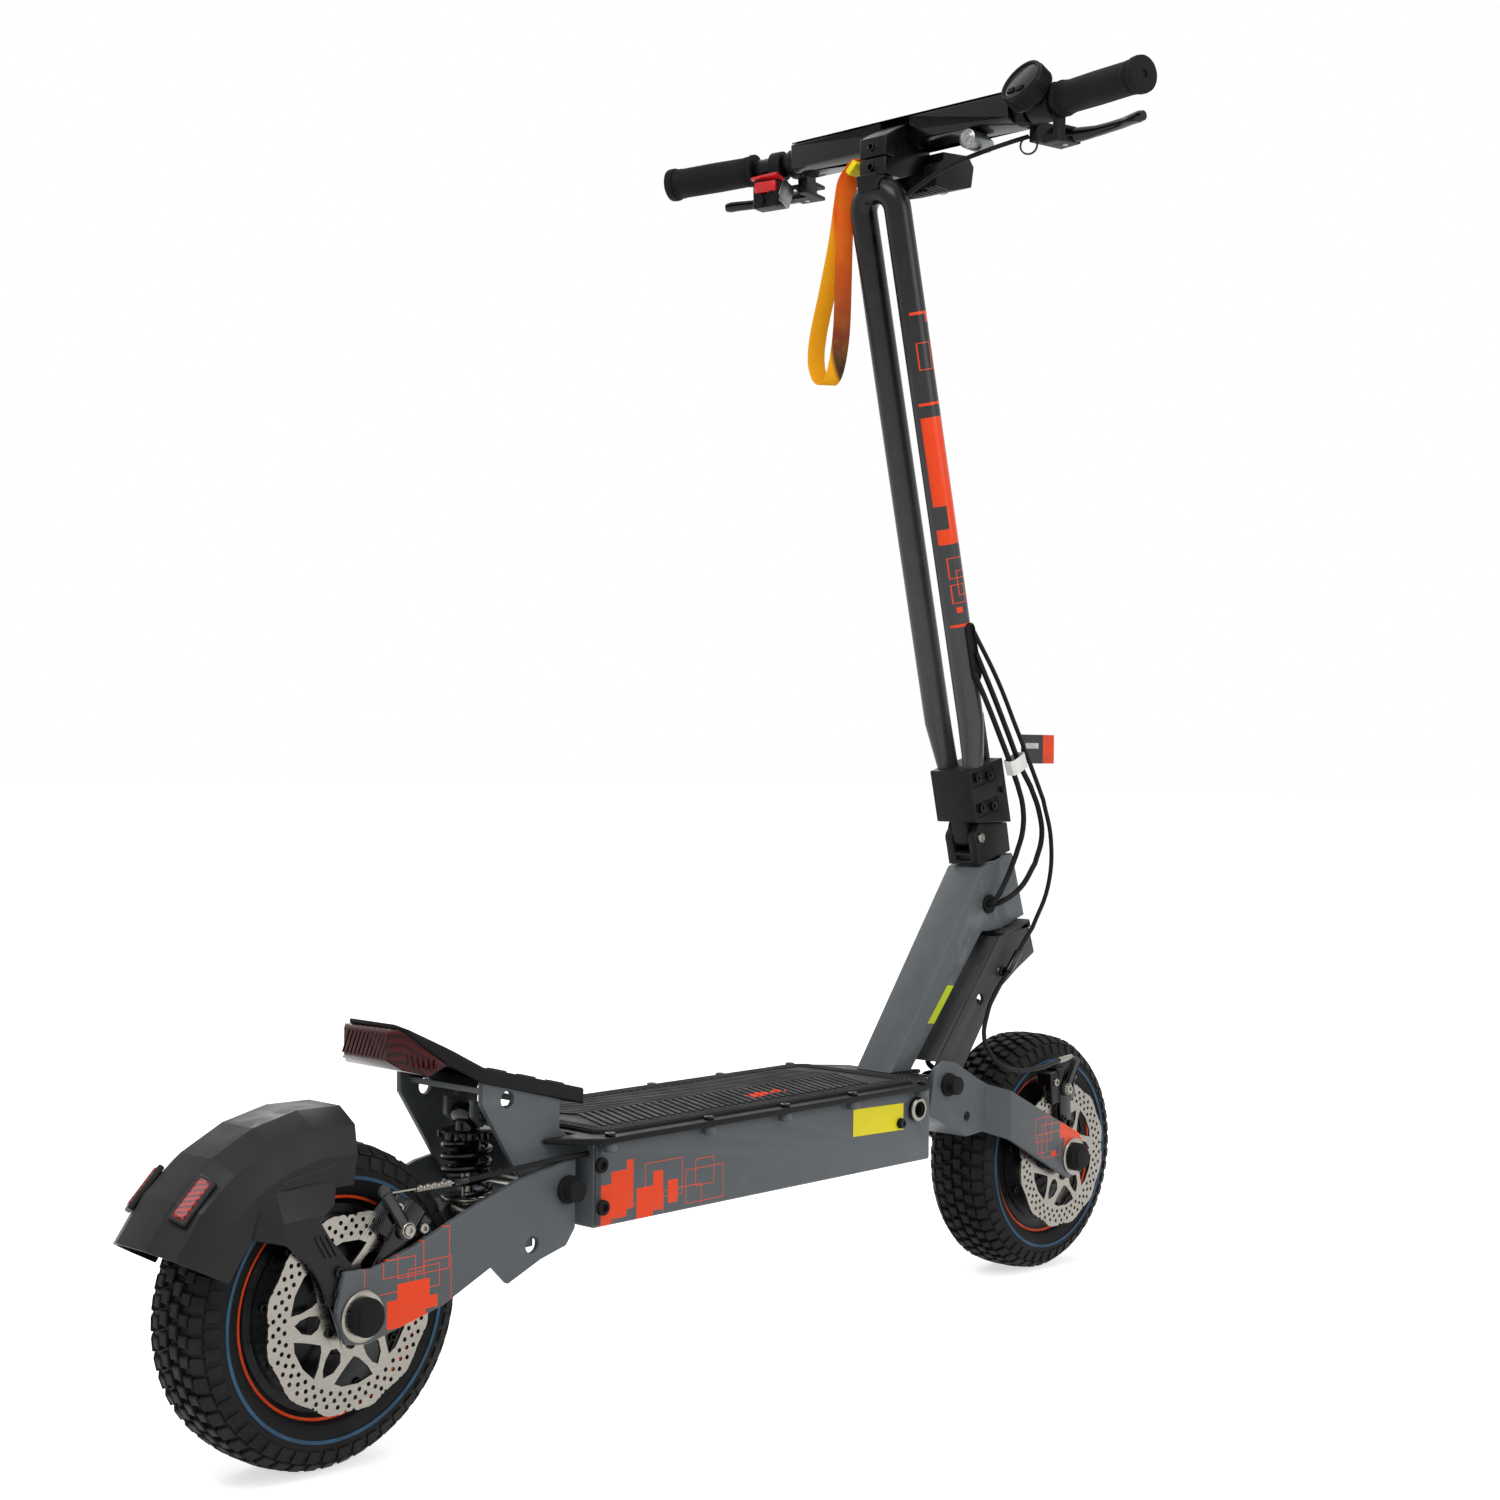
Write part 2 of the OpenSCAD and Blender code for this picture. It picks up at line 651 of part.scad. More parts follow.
lamp_at = [bar[0] + 46, bar[1] - 32];
module headlight_body() {
    color("#232324") place() difference() {
        yplate([[bar[0] + 17.3, bar[1] - 16.5], [bar[0] + 60, bar[1] - 12],
            [bar[0] + 70, bar[1] - 22], [bar[0] + 66, bar[1] - 44], [bar[0] + 30, bar[1] - 54],
            [bar[0] + 6, bar[1] - 54], [bar[0] + 6, bar[1] - 31], [bar[0] + 17.3, bar[1] - 24]],
            -34, 34);
        translate([bar[0] + 52, 0, bar[1] - 32]) rotate([0, 96, 0]) cylinder(r = 14, h = 40);
        // Cooling fins underneath
        for (y = [-30 : 6 : 28]) translate([bar[0], y, bar[1] - 60]) cube([70, 2.5, 10]);
        yplate([[bar[0] - 30, bar[1] - 60], [bar[0] + 17.2, bar[1] - 60], [bar[0] + 17.2, bar[1]],
            [bar[0] - 30, bar[1]]], -clamp_half - gap, clamp_half + gap);
    }
}

module headlight_lens() {
    color("#dfe6ea") place() translate([bar[0] + 52, 0, bar[1] - 32]) rotate([0, 96, 0])
        cylinder(r = 13.8, h = 14);
}

// Round display and the clamp of the throttle, on the right
// Round display beside the throttle: its radius, depth and distance from the bar's middle
display_r = 24;
display_h = 20;
display_off = 16.6;

// Frame of the display, which faces up and back to the rider
module display_frame() {
    bar_end_frame(-1) translate([0, -26, 0]) rotate([0, -60, 0])
        translate([0, 0, display_off]) children();
}

module throttle_body() {
    color("#1a1a1b") place() difference() {
        union() {
            on_bar(-1, 18, 16, 45.8);
            display_frame() cylinder(r = display_r, h = display_h);
        }
        on_bar(-1, bar_r, 1, 47);
        display_frame() translate([0, 0, display_h - 1.5])
            cylinder(r = display_r - 3.5, h = 5);
    }
}

// Thumb lever that turns round the bar between the clamp and the grip
module throttle_lever() {
    color("#2a2a2c") place() difference() {
        union() {
            on_bar(-1, 15, 46.2, grip_start - gap);
            bar_end_frame(-1) translate([-6, -grip_start + gap, -40])
                cube([12, grip_start - gap - 46.2, 28]);
            bar_end_frame(-1) translate([-6, -grip_start + gap, -40])
                cube([12, grip_start - gap - 30, 8]);
        }
        on_bar(-1, bar_r + gap, 45, grip_start + 1);
    }
}

// Brake perches clamp the bar beside the cockpit box and carry the levers
lever_pin = [42, 12];
lever_z = -25;
lever_t = 7.4;
module perch_box(s, x, y0, y1, z, wide, high) {
    translate([x, s > 0 ? y0 : -y1, z]) cube([wide, y1 - y0, high]);
}
module perch(s) {
    difference() {
        union() {
            ycyl(bar, 16, s > 0 ? box_half + 0.5 : -bend_y - 6, s > 0 ? bend_y + 6 : -box_half - 0.5);
            bar_end_frame(s) {
                perch_box(s, 9, -5, 6, -29.3, 22, 20);
                perch_box(s, 28, -5, 24, -29.3, 24, 4);
                perch_box(s, 28, -5, 24, lever_z + lever_t + gap, 24, 4);
            }
        }
        ycyl(bar, bar_mid_r, -170, 170);
        on_bar(s, bar_mid_r + 0.2, 0, 12);
        bar_end_frame(s) translate([lever_pin[0], s * lever_pin[1], -40])
            cylinder(r = 3 + run_fit, h = 50);
    }
}

module brake_perches() {
    color("#252527") place() for (s = [-1, 1]) perch(s);
}

module brake_lever(s) {
    color("#1d1d1f") place() bar_end_frame(s) {
        translate([lever_pin[0], s * lever_pin[1], -30]) cylinder(r = 3, h = 18);
        translate([lever_pin[0], s * lever_pin[1], lever_z]) cylinder(r = 8, h = lever_t);
        translate([0, 0, lever_z]) linear_extrude(lever_t) polygon([
            [lever_pin[0] - 7, s * lever_pin[1]], [lever_pin[0] + 7, s * lever_pin[1]],
            [lever_pin[0] + 14, s * 34], [lever_pin[0] + 14, s * 70],
            [lever_pin[0] + 11, s * 100], [lever_pin[0] + 7, s * 114],
            [lever_pin[0] - 1, s * 112], [lever_pin[0] + 2, s * 96],
            [lever_pin[0] + 4, s * 60], [lever_pin[0] + 2, s * 34]]);
        translate([lever_pin[0] + 4, s * 114, lever_z]) cylinder(r = 5, h = lever_t);
    }
}
module brake_lever_right() { brake_lever(-1); }
module brake_lever_left() { brake_lever(1); }

// Switch housing on the left, with the button that faces the rider
module switch_body() {
    color("#171718") place() difference() {
        union() {
            on_bar(1, 15.5, 16, 30);
            bar_end_frame(1) translate([-16, 14, -46]) cube([20, 34, 30]);
            bar_end_frame(1) translate([-14, 16, -20]) cube([18, 14, 14]);
        }
        on_bar(1, bar_r, 1, 60);
        bar_end_frame(1) translate([-17, 17.7, -31.3]) cube([14, 26.6, 12.6]);
    }
}

module switch_button() {
    color("#c4141b") place() bar_end_frame(1) translate([-20, 18, -31]) cube([12, 26, 12]);
}

module latch_lever() {
    color("#111112") place() {
        ylean_cyl(latch_at, 3, -block_half - cheek - 3, block_half + cheek + 3);
        difference() {
            union() {
                ylean_cyl(latch_at, 6.5, -8.5, 8.5);
                ylean([[19, 103], [27.5, 104.5], [29.5, 118], [31, 150], [29, 190], [22, 192],
                    [20, 150], [16, 112]], -8.5, 8.5);
                ylean([[29, 118], [36, 118], [36, 190], [29, 190]], -6, 6);
            }
            ylean_cyl(latch_at, 3, -9, 9);
        }
    }
}

// ---- Soft pieces on the stem ----

strap_w = 14;
strap_x = arch_top[0] - 4;
strap_z = arch_top[1];
// Lower wall of the band, which bears on the cables
band_low = 1.9;
module hang_tags() {
    // Lanyard on the clamp
    color("#e8851c") place() translate([strap_x, 0, strap_z]) rotate([90, 0, 90])
        linear_extrude(strap_w) difference() {
            polygon([[clamp_half, 36], [clamp_half, 27], [33, 17], [38, -2], [40, -90],
                [42, -170], [50, -196], [76, -194], [80, -170], [56, -100], [44, -2], [40, 22]]);
            polygon([[45, -95], [52, -100], [68, -168], [66, -182], [54, -182], [49, -165]]);
        }
    // Band round the cables and the card that hangs on it
    color("#e8e8e6") place() translate(fork_shift) {
        translate([860, -56, 540]) rotate([0, -24, 0]) difference() {
            cube([26, 14, 16]);
            translate([1.4, band_low, -1]) cube([23.2, 9.4, 18]);
        }
        translate([879, -49, 553]) cube([60, 1.5, 31]);
    }
}

cable_a = [[809, -37, 648], [824, -42, 619], [845, -46, 580], [860, -48, 553], [871, -50, 530],
    [879, -51, 508], [881, -50, 482], [876, -45, 455], [865, -39, 426], [855, -34, 408],
    [853, -29, 403], [853, -20, 403]];
cable_b = [[813, -37, 668], [836, -43, 624], [858, -47, 583], [875, -49, 553], [892, -52, 528],
    [906, -53, 502], [913, -52, 474], [907, -48, 446], [889, -42, 420], [866, -35, 406],
    [861, -29, 403], [861, -20, 403]];
cable_c = [[809, -37, 690], [842, -44, 640], [868, -49, 592], [888, -54, 552], [904, -60, 514],
    [916, -62, 471], [914, -60, 421], [898, -52, 378], [882, -45, 352], [866, -43, 331],
    [839, -46, 310], [815, -54, 290], [800, -62, 268], [800, -70, 253], [812, -76, 240],
    [840, -78, 232], [888, -74, 231], [926, -68, 234], [958, -62, 234]];
cable_bar = [[748, -144.5, 1176], [738, -130, 1171], [726, -102, 1163], [717, -72, 1154],
    [710, -46, 1142], [703, -25, 1128]];

// The routes are written for a wheelbase of 954.5 and a tyre of 255, and follow their ends
fork_shift = [fx - 954.5, 0, R - 127.5];
bar_shift = [bar[0] - 735.55, 0, bar[1] - 1198.3];
bar_cable_r = 2.5;
// The three cables that leave the stem, each with its radius and sweep direction
stem_cables = [[cable_a, 3, [1, 0, 0]], [cable_b, 3, [1, 0, 0]], [cable_c, 2.5, [0, 1, 0]]];

module control_cables() {
    color("#131313") place() {
        translate(fork_shift) for (c = stem_cables) sweep_tube(c[0], c[1], c[2]);
        translate(bar_shift) sweep_tube(cable_bar, bar_cable_r, [0, 0, 1]);
    }
}

rear_route = [[102.5, -73, 95.5], [72, -73, 95.5], [32, -72, 93.5], [1, -69, 91.5],
    [-21, -65, 89.5], [-33, -62, 88.5]];
module rear_cable() {
    color("#131313") place() {
        translate([R, 0, R]) sweep_tube(rear_route, 2.5);
        // Bare wire from the hose's end to the caliper's lever
        translate([0, 0, R]) sweep_tube([[95, -63, 88.5], [60, -63.5, 89], [30, -64.4, 89.5]], 1.2);
    }
}

// ---- Wheels ----

module tyre(at) {
    color("#1a1a1a") place() yturn(at, [[rim_r, -29], [rim_r + 4, -34], [R - 26, -tyre_w / 2],
        [R - 10, 2 - tyre_w / 2], [R - 3, 11 - tyre_w / 2], [R, -23], [R, 23],
        [R - 3, tyre_w / 2 - 11], [R - 10, tyre_w / 2 - 2], [R - 26, tyre_w / 2],
        [rim_r + 4, 34], [rim_r, 29], [rim_r, 22], [R - 26, tyre_w / 2 - 6], [R - 13, 26],
        [R - 9, 14], [R - 9, -14], [R - 13, -26], [R - 26, 6 - tyre_w / 2], [rim_r, -22]]);
}

hub_face = rotor_y + rotor_t / 2;
module hub(at) {
    color("#1d1e1f") place() difference() {
        yturn(at, [[hub_bore_r, hub_face], [30, hub_face], [34, -44], [56, -36],
            [80, -26], [rim_r, -29], [rim_r, -22], [rim_r - 8, -12], [rim_r - 8, 12],
            [rim_r, 22], [rim_r, 29], [80, 26], [56, 36], [24, 42], [24, 46], [hub_bore_r, 46]]);
        ycyl(at, cavity_r, -cavity_w, cavity_w);
    }
}

module rotor(at) {
    color("#b9bbbd") place() difference() {
        ycyl(at, rotor_d / 2, rotor_y - rotor_t / 2, rotor_y + rotor_t / 2);
        ycyl(at, 18, rotor_y - 5, rotor_y + 5);
        for (a = [0 : 60 : 300]) {
            ycyl(at + 42 * [cos(a), sin(a)], 12, rotor_y - 5, rotor_y + 5);
            ycyl(at + 24 * [cos(a + 30), sin(a + 30)], 2.6, rotor_y - 5, rotor_y + 5);
        }
        for (a = [0 : 15 : 345])
            ycyl(at + (rotor_d / 2 - 8) * [cos(a), sin(a)], 2.5, rotor_y - 5, rotor_y + 5);
    }
}

// Axle with the motor's stator fixed on it
module axle(at) {
    color("#8d8f91") place() {
        ycyl(at, axle_d / 2, -arm_out - 5, arm_out + 5);
        difference() {
            ycyl(at, cavity_r - 2, 4 - cavity_w, cavity_w - 4);
            ycyl(at, axle_d / 2, -cavity_w, cavity_w);
        }
    }
}

module caps(axle_at, pivot_at, pivot_y) {
    color("#19191a") place() both_sides() {
        difference() {
            union() {
                ycyl(axle_at, 15, arm_out, arm_out + 10);
                ycyl(axle_at, 12, arm_out + 10, arm_out + 14);
            }
            ycyl(axle_at, axle_d / 2, arm_out - 1, arm_out + 5);
        }
        difference() {
            union() {
                ycyl(pivot_at, 12, pivot_y, pivot_y + 4);
                ycyl(pivot_at, 9.5, pivot_y + 4, pivot_y + 14);
            }
            ycyl(pivot_at, pivot_d / 2 + 0.5, pivot_y - 1, pivot_y + 5);
        }
    }
}

rear_hub_at = [0, R];
front_hub_at = [fx, R];
module rear_tyre() { tyre(rear_hub_at); }
module front_tyre() { tyre(front_hub_at); }
module rear_hub() { hub(rear_hub_at); }
module front_hub() { hub(front_hub_at); }
module rear_rotor() { rotor(rear_hub_at); }
module front_rotor() { rotor(front_hub_at); }
module rear_axle() { axle(rear_hub_at); }
module front_axle() { axle(front_hub_at); }
module rear_caps() { caps(rear_hub_at, rear_pivot, arm_out); }
module front_caps() { caps(front_hub_at, front_pivot, front_arm_out); }

// ---- Rear swing arm ----

rear_arm_outline = [[R + 94, R + 34], [R + 94, R + 92], [R + 29.5, R + 82], [R - 20, R + 66],
    [R - 52, R + 54], [R - 78, R + 45], [R - 116, R + 34], [-16, R + 36], [-23, R + 6],
    [-14, R - 20], [6, R - 23], [R - 47, R - 6], [R - 13, R + 9], [R + 3, R + 16],
    [R + 20, R - 1], [R + 56, R + 13.5], [R + 84, R + 20.5]];

module rear_arm() {
    color("#5a5e61") place() difference() {
        union() {
            both_sides() {
                yplate(rear_arm_outline, arm_in, arm_out);
                // Dropout boss outside the rotor
                ycyl(rear_hub_at, 20, arm_in - 3, arm_in);
            }
            // Cross beam ahead of the tyre, with the shock's lower ears
            yplate([[R + 14, R + 24], [R + 14, R + 46], [R + 26, R + 54], [R + 38, R + 54],
                [R + 52, R + 44], [R + 52, R + 24]], -arm_in, arm_in);
        }
        ycyl(rear_hub_at, axle_d / 2, -80, 80);
        ycyl(rear_pivot, pivot_d / 2 + run_fit, -80, 80);
        // Space round the shock's lower eye
        translate([R + 10, -13, R + 34]) cube([52, 26, 40]);
        for (s = [-1, 1]) ycyl([R + 46, R + 27], 7, s * 70 - 8, s * 70 + 8);
    }
    color("#5a5e61") place() ycyl(rear_shock_low, shock_pin_r, -15, 15);
}

// ---- Front swing arm ----

crank_x = fx - R - 1;
front_arm_outline = [[fx - 216, R + 112], [fx - 198, R + 120], [fx - 182, R + 117], [fx - 146, R + 98],
    [fx - 110, R + 81], [fx - 68, R + 61], [fx + 12, R + 24], [fx + 25, R + 4],
    [fx + 16, R - 19], [fx - 8, R - 23], [fx - 59, R + 3], [fx - 131, R + 40],
    [fx - 162, R + 38], [fx - 226, R + 68], [fx - 218, R + 100]];

// Plan of the bent plate, at y from the middle plane
function bent(y0, y1) = [[fx - 240, y0], [crank_x + 2, y0], [crank_x + 14, y1], [fx + 40, y1]];

module front_arm() {
    inner = bent(front_arm_in, arm_in);
    outer = bent(front_arm_out, arm_out);
    color("#5a5e61") place() difference() {
        union() {
            both_sides() {
                intersection() {
                    yplate(front_arm_outline, 30, 80);
                    linear_extrude(R + 200) polygon([inner[0], inner[1], inner[2], inner[3],
                        outer[3], outer[2], outer[1], outer[0]]);
                }
                ycyl(front_hub_at, 20, arm_in - 3, arm_in);
            }
            // Floor between the plates under the pivot, and the shock's lower tube
            yplate([[fx - 226, R + 68], [fx - 162, R + 38], [fx - 157, R + 42], [fx - 222, R + 73]],
                -front_arm_in, front_arm_in);
            ycyl(front_shock_low, shock_pin_r, -front_arm_in, front_arm_in);
        }
        ycyl(front_hub_at, axle_d / 2, -80, 80);
        ycyl(front_pivot, pivot_d / 2 + run_fit, -80, 80);
        for (s = [-1, 1]) ycyl([fx - 161, R + 59], 5, s * 43 - 4, s * 43 + 4);
    }
}

// ---- Brakes ----

// Caliper over the rotor's edge, its adapter on the swing arm, at angle t round the axle
caliper_r = rotor_d / 2 - 8;
caliper_face = rotor_y - 7.5;
module caliper(at, t) {
    color("#151516") place() translate([at[0], 0, at[1]]) rotate([0, -t, 0]) difference() {
        union() {
            translate([caliper_r - 10, caliper_face, -22]) cube([34, 19, 44]);
            translate([26, -arm_in, -10]) cube([caliper_r, 5, 20]);
        }
        translate([0, rotor_y - 2, -60]) cube([rotor_d / 2 + 2, 4, 120]);
    }
}

// Lever of a caliper; its cable end is at end, seen from its pin
caliper_pin = caliper_r + 4;
module caliper_lever(at, t, end) {
    color("#2a2b2d") place() translate([at[0], 0, at[1]]) rotate([0, -t, 0])
        translate([caliper_pin, 0, 0]) {
            ycyl([0, 0], 8, -arm_in - 4.5, -arm_in - gap);
            ycyl(end, 5, -arm_in - 4.5, -arm_in - gap);
            rotate([0, -atan2(end[1], end[0]), 0]) translate([0, -arm_in - 4.5, -4])
                cube([norm(end), 4.5 - gap, 8]);
        }
}

rear_caliper_t = 52;
front_caliper_t = 96;
module rear_caliper() { caliper(rear_hub_at, rear_caliper_t); }
module front_caliper() { caliper(front_hub_at, front_caliper_t); }
module rear_caliper_arm() { caliper_lever(rear_hub_at, rear_caliper_t, [12, 38]); }
module front_caliper_arm() { caliper_lever(front_hub_at, front_caliper_t, [26, -20]); }

// ---- Fender, with its stays and the two reflectors ----

module fender_arc(profile, a0, a1) {
    translate([fender_c[0], 0, fender_c[1]]) rotate([0, -a0, 0]) rotate([90, 0, 0])
        rotate_extrude(angle = a1 - a0, $fn = 96) polygon(profile);
}

fender_half = 50;
module fender() {
    color("#2c2d2e") place() {
        fender_arc([[fender_r, -20], [fender_r, 20], [fender_r - 12, 42],
            [fender_r - 34, fender_half], [fender_r - 58, fender_half],
            [fender_r - 58, fender_half - fender_t], [fender_r - 35, fender_half - fender_t],
            [fender_r - 14, 39], [fender_r - fender_t, 19], [fender_r - fender_t, -19],
            [fender_r - 14, -39], [fender_r - 35, fender_t - fender_half],
            [fender_r - 58, fender_t - fender_half], [fender_r - 58, -fender_half],
            [fender_r - 34, -fender_half], [fender_r - 12, -42]],
            fender_front_a, fender_tail_a);
        both_sides() {
            // Stay down to the swing arm, outside the rotor
            yplate([[-26, R + 20], [-12, R + 20], [-2, R + 112], [-36, R + 112]], 57, arm_in);
            yplate([[-34, R + 94], [-4, R + 94], [-2, R + 112], [-36, R + 112]],
                fender_half - 1, arm_in);
            fender_arc([[fender_r - 1, 24], [fender_r + 1.6, 24.5], [fender_r - 8.5, 41],
                [fender_r - 11, 40]], 128, 144);
        }
    }
}

// ---- Shocks: each is drawn along Z from its top eye, then turned onto its two pins ----

eye_r = 9;
eye_half = 12;
rod_r = 5;
tube_share = 0.52;
collar_t = 6;
coil_r = (spring_d - spring_wire) / 2;

module on_shock(top, low) {
    turn = atan2(top[0] - low[0], top[1] - low[1]);
    translate([top[0], 0, top[1]]) rotate([0, turn, 0]) children();
}

module shock_body(top, low) {
    long = norm(top - low);
    color("#141414") place() on_shock(top, low) difference() {
        union() {
            rotate([90, 0, 0]) cylinder(r = eye_r, h = 2 * eye_half, center = true);
            translate([0, 0, -long * tube_share]) cylinder(r = 10.5, h = long * tube_share - 5);
            translate([0, 0, -13 - collar_t]) cylinder(r = spring_d / 2 + 1, h = collar_t);
        }
        rotate([90, 0, 0]) cylinder(r = shock_pin_r + run_fit, h = 40, center = true);
        translate([0, 0, -long - 1]) cylinder(r = rod_r + run_fit, h = long - 16);
    }
}

module shock_rod(top, low) {
    long = norm(top - low);
    color("#c9cbcd") place() on_shock(top, low) difference() {
        union() {
            translate([0, 0, -long]) rotate([90, 0, 0])
                cylinder(r = eye_r, h = 2 * eye_half, center = true);
            translate([0, 0, 5 - long]) cylinder(r = rod_r, h = long - 35);
            translate([0, 0, 10 - long]) cylinder(r = spring_d / 2, h = 4);
        }
        // Open fit round the lower pin
        translate([0, 0, -long]) rotate([90, 0, 0])
            cylinder(r = shock_pin_r + 0.5, h = 40, center = true);
    }
}

module coil(top, low, turns) {
    long = norm(top - low);
    z0 = 14 - long + spring_wire / 2;
    z1 = -13 - collar_t - spring_wire / 2;
    steps = turns * 10;
    color("#0f0f10") place() on_shock(top, low)
        sweep_tube([for (i = [0 : steps])
            let (a = 36 * i, z = z0 + (z1 - z0) * i / steps)
            [coil_r * cos(a), coil_r * sin(a), z]], spring_wire / 2, [0, 0, 1]);
}

module rear_shock_body() { shock_body(rear_shock_top, rear_shock_low); }
module rear_shock_rod() { shock_rod(rear_shock_top, rear_shock_low); }
module rear_spring() { coil(rear_shock_top, rear_shock_low, 4); }
module front_shock_body() { shock_body(front_shock_top, front_shock_low); }
module front_shock_rod() { shock_rod(front_shock_top, front_shock_low); }
module front_spring() { coil(front_shock_top, front_shock_low, 7); }

deck_tub();
deck_lid();
deck_mat();
lid_screws();
neck();
head_bearings();
battery_pack();
motor_controller();
kick_plate();
tail_lamp();
rear_bracket();
rear_pins();
side_trims();
kickstand();
rear_cable();
fork_bracket();
fold_base();
fork_pins();
fold_top();
stem_tubes();
stem_bolts();
bar_clamp();
handlebar();
grips();
cockpit_box();
headlight_body();
headlight_lens();
throttle_body();
brake_perches();
switch_body();
hang_tags();
control_cables();
brake_lever_right();
brake_lever_left();
throttle_lever();
latch_lever();
switch_button();
front_arm();
front_axle();
front_caps();
front_caliper();
front_caliper_arm();
front_hub();
front_tyre();
front_rotor();
rear_arm();
rear_axle();
rear_caps();
rear_caliper();
rear_caliper_arm();
fender();
rear_hub();
rear_tyre();
rear_rotor();
rear_shock_body();
rear_shock_rod();
rear_spring();
front_shock_body();
front_shock_rod();
front_spring();
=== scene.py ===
"""Electric kick scooter, modelled in detail over the frame of its solid parts.

Places given through at() are millimetres from the rear axle's foot on the ground: x forward,
y to the rider's left and z up. Everything else is in metres in the frame's own axes.
"""

import json
import math

import bpy
from mathutils import Matrix, Vector


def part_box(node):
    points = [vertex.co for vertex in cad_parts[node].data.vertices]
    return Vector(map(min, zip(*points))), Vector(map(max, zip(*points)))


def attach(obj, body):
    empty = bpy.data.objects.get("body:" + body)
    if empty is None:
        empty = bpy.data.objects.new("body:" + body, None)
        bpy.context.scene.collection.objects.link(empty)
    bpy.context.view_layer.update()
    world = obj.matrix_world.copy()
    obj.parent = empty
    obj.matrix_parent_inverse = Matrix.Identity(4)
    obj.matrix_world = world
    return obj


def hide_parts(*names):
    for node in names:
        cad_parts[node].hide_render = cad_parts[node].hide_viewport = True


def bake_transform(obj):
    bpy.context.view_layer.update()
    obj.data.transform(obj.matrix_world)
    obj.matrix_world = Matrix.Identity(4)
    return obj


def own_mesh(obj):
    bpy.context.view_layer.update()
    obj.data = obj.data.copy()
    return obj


bl_info = {
    "name": "Electric Kick Scooter",
    "version": (1, 0, 0),
    "blender": (4, 5, 0),
    "location": "View3D > Sidebar > Scooter",
    "description": "Builds an electric kick scooter in detail over its solid frame",
    "category": "Object",
}

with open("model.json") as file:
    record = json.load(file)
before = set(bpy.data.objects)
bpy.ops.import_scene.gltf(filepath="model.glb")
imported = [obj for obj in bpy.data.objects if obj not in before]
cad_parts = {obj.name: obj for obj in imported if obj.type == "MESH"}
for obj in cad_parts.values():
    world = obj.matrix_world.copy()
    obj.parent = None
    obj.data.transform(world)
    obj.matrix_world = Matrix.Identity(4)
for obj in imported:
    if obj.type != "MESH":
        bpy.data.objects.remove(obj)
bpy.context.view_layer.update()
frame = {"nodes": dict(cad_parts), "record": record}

MM = 0.001
TURN = 2 * math.pi
WELD = 0.01 * MM
COPY_WELD = 0.004 * MM
FLAT_ANGLE = math.radians(0.4)
WHEEL_STEPS = 96
LEFT = Vector((0, 1, 0))
RIGHT = Vector((0, -1, 0))
UP = Vector((0, 0, 1))


def mm(x, y, z):
    """A vector given in millimetres."""
    return Vector((x * MM, y * MM, z * MM))


# ---- Places, worked out from the frame ----

def middle(node):
    low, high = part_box(node)
    return (low + high) / 2


def on_midplane(point):
    return Vector((point.x, 0, point.z))


REAR_AXLE = on_midplane(middle("rear_tyre"))
FRONT_AXLE = on_midplane(middle("front_tyre"))
TYRE_RADIUS = REAR_AXLE.z / MM
LEAN = math.radians(14.2)
HEAD = FRONT_AXLE + mm(-73.5, 0, 287.5)
LID_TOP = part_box("deck_lid")[1].z
MAT_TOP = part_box("deck_mat")[1].z


def at(x, y, z):
    """A point in millimetres from the rear axle's foot on the ground."""
    return Vector((REAR_AXLE.x + x * MM, y * MM, z * MM))


def pitched(angle):
    """The direction that is turned up from straight ahead by an angle."""
    return Vector((math.cos(angle), 0, math.sin(angle)))


def on_lean(u, y, w):
    """A point in millimetres in the leaning frame of the steering axis."""
    return HEAD + (u * pitched(LEAN) + w * pitched(LEAN + TURN / 4)) * MM + mm(0, y, 0)


ARCH_TOP = on_lean(-10, 0, 745)
BAR = ARCH_TOP + mm(47, 0, 63.5)
BEND_Y = 150 * MM
SWEEP = math.radians(12.4)
BAR_TILT = math.atan2(-4, 160)
BAR_END_LENGTH = 163.9
GRIP_LENGTH = 112
GRIP_START = BAR_END_LENGTH - GRIP_LENGTH


def bar_frame(side):
    """Frame at the bar's bend, its Y pointing out along the swept end; side is -1 or 1."""
    return (
        Matrix.Translation(BAR + Vector((0, side * BEND_Y, 0)))
        @ Matrix.Rotation(side * SWEEP, 4, "Z")
        @ Matrix.Rotation(side * BAR_TILT, 4, "X")
    )


def on_bar(side, x, y, z):
    """A point in millimetres in the frame of a swept bar end, y counted outwards."""
    return bar_frame(side) @ mm(x, side * y, z)


# ---- Modelling helpers ----

def clear():
    if bpy.context.mode != "OBJECT":
        bpy.ops.object.mode_set(mode="OBJECT")
    bpy.ops.object.select_all(action="DESELECT")


def only(*objects):
    clear()
    for item in objects:
        item.select_set(True)
    bpy.context.view_layer.objects.active = objects[0]
    return objects[0]


def edit(obj, mode="VERT", action="SELECT"):
    only(obj)
    bpy.ops.object.mode_set(mode="EDIT")
    bpy.ops.mesh.select_mode(type=mode)
    bpy.ops.mesh.select_all(action=action)


def pick(obj, kind, test):
    """Selects in edit mode the vertices or faces whose world centre and normal pass the test."""
    edit(obj, "VERT" if kind == "verts" else "FACE", "DESELECT")
    bpy.ops.object.mode_set(mode="OBJECT")
    world = obj.matrix_world
    turned = world.to_3x3()
    if kind == "verts":
        for vert in obj.data.vertices:
            vert.select = test(world @ vert.co, turned @ vert.normal)
    else:
        for face in obj.data.polygons:
            face.select = test(world @ face.center, turned @ face.normal)
    bpy.ops.object.mode_set(mode="EDIT")


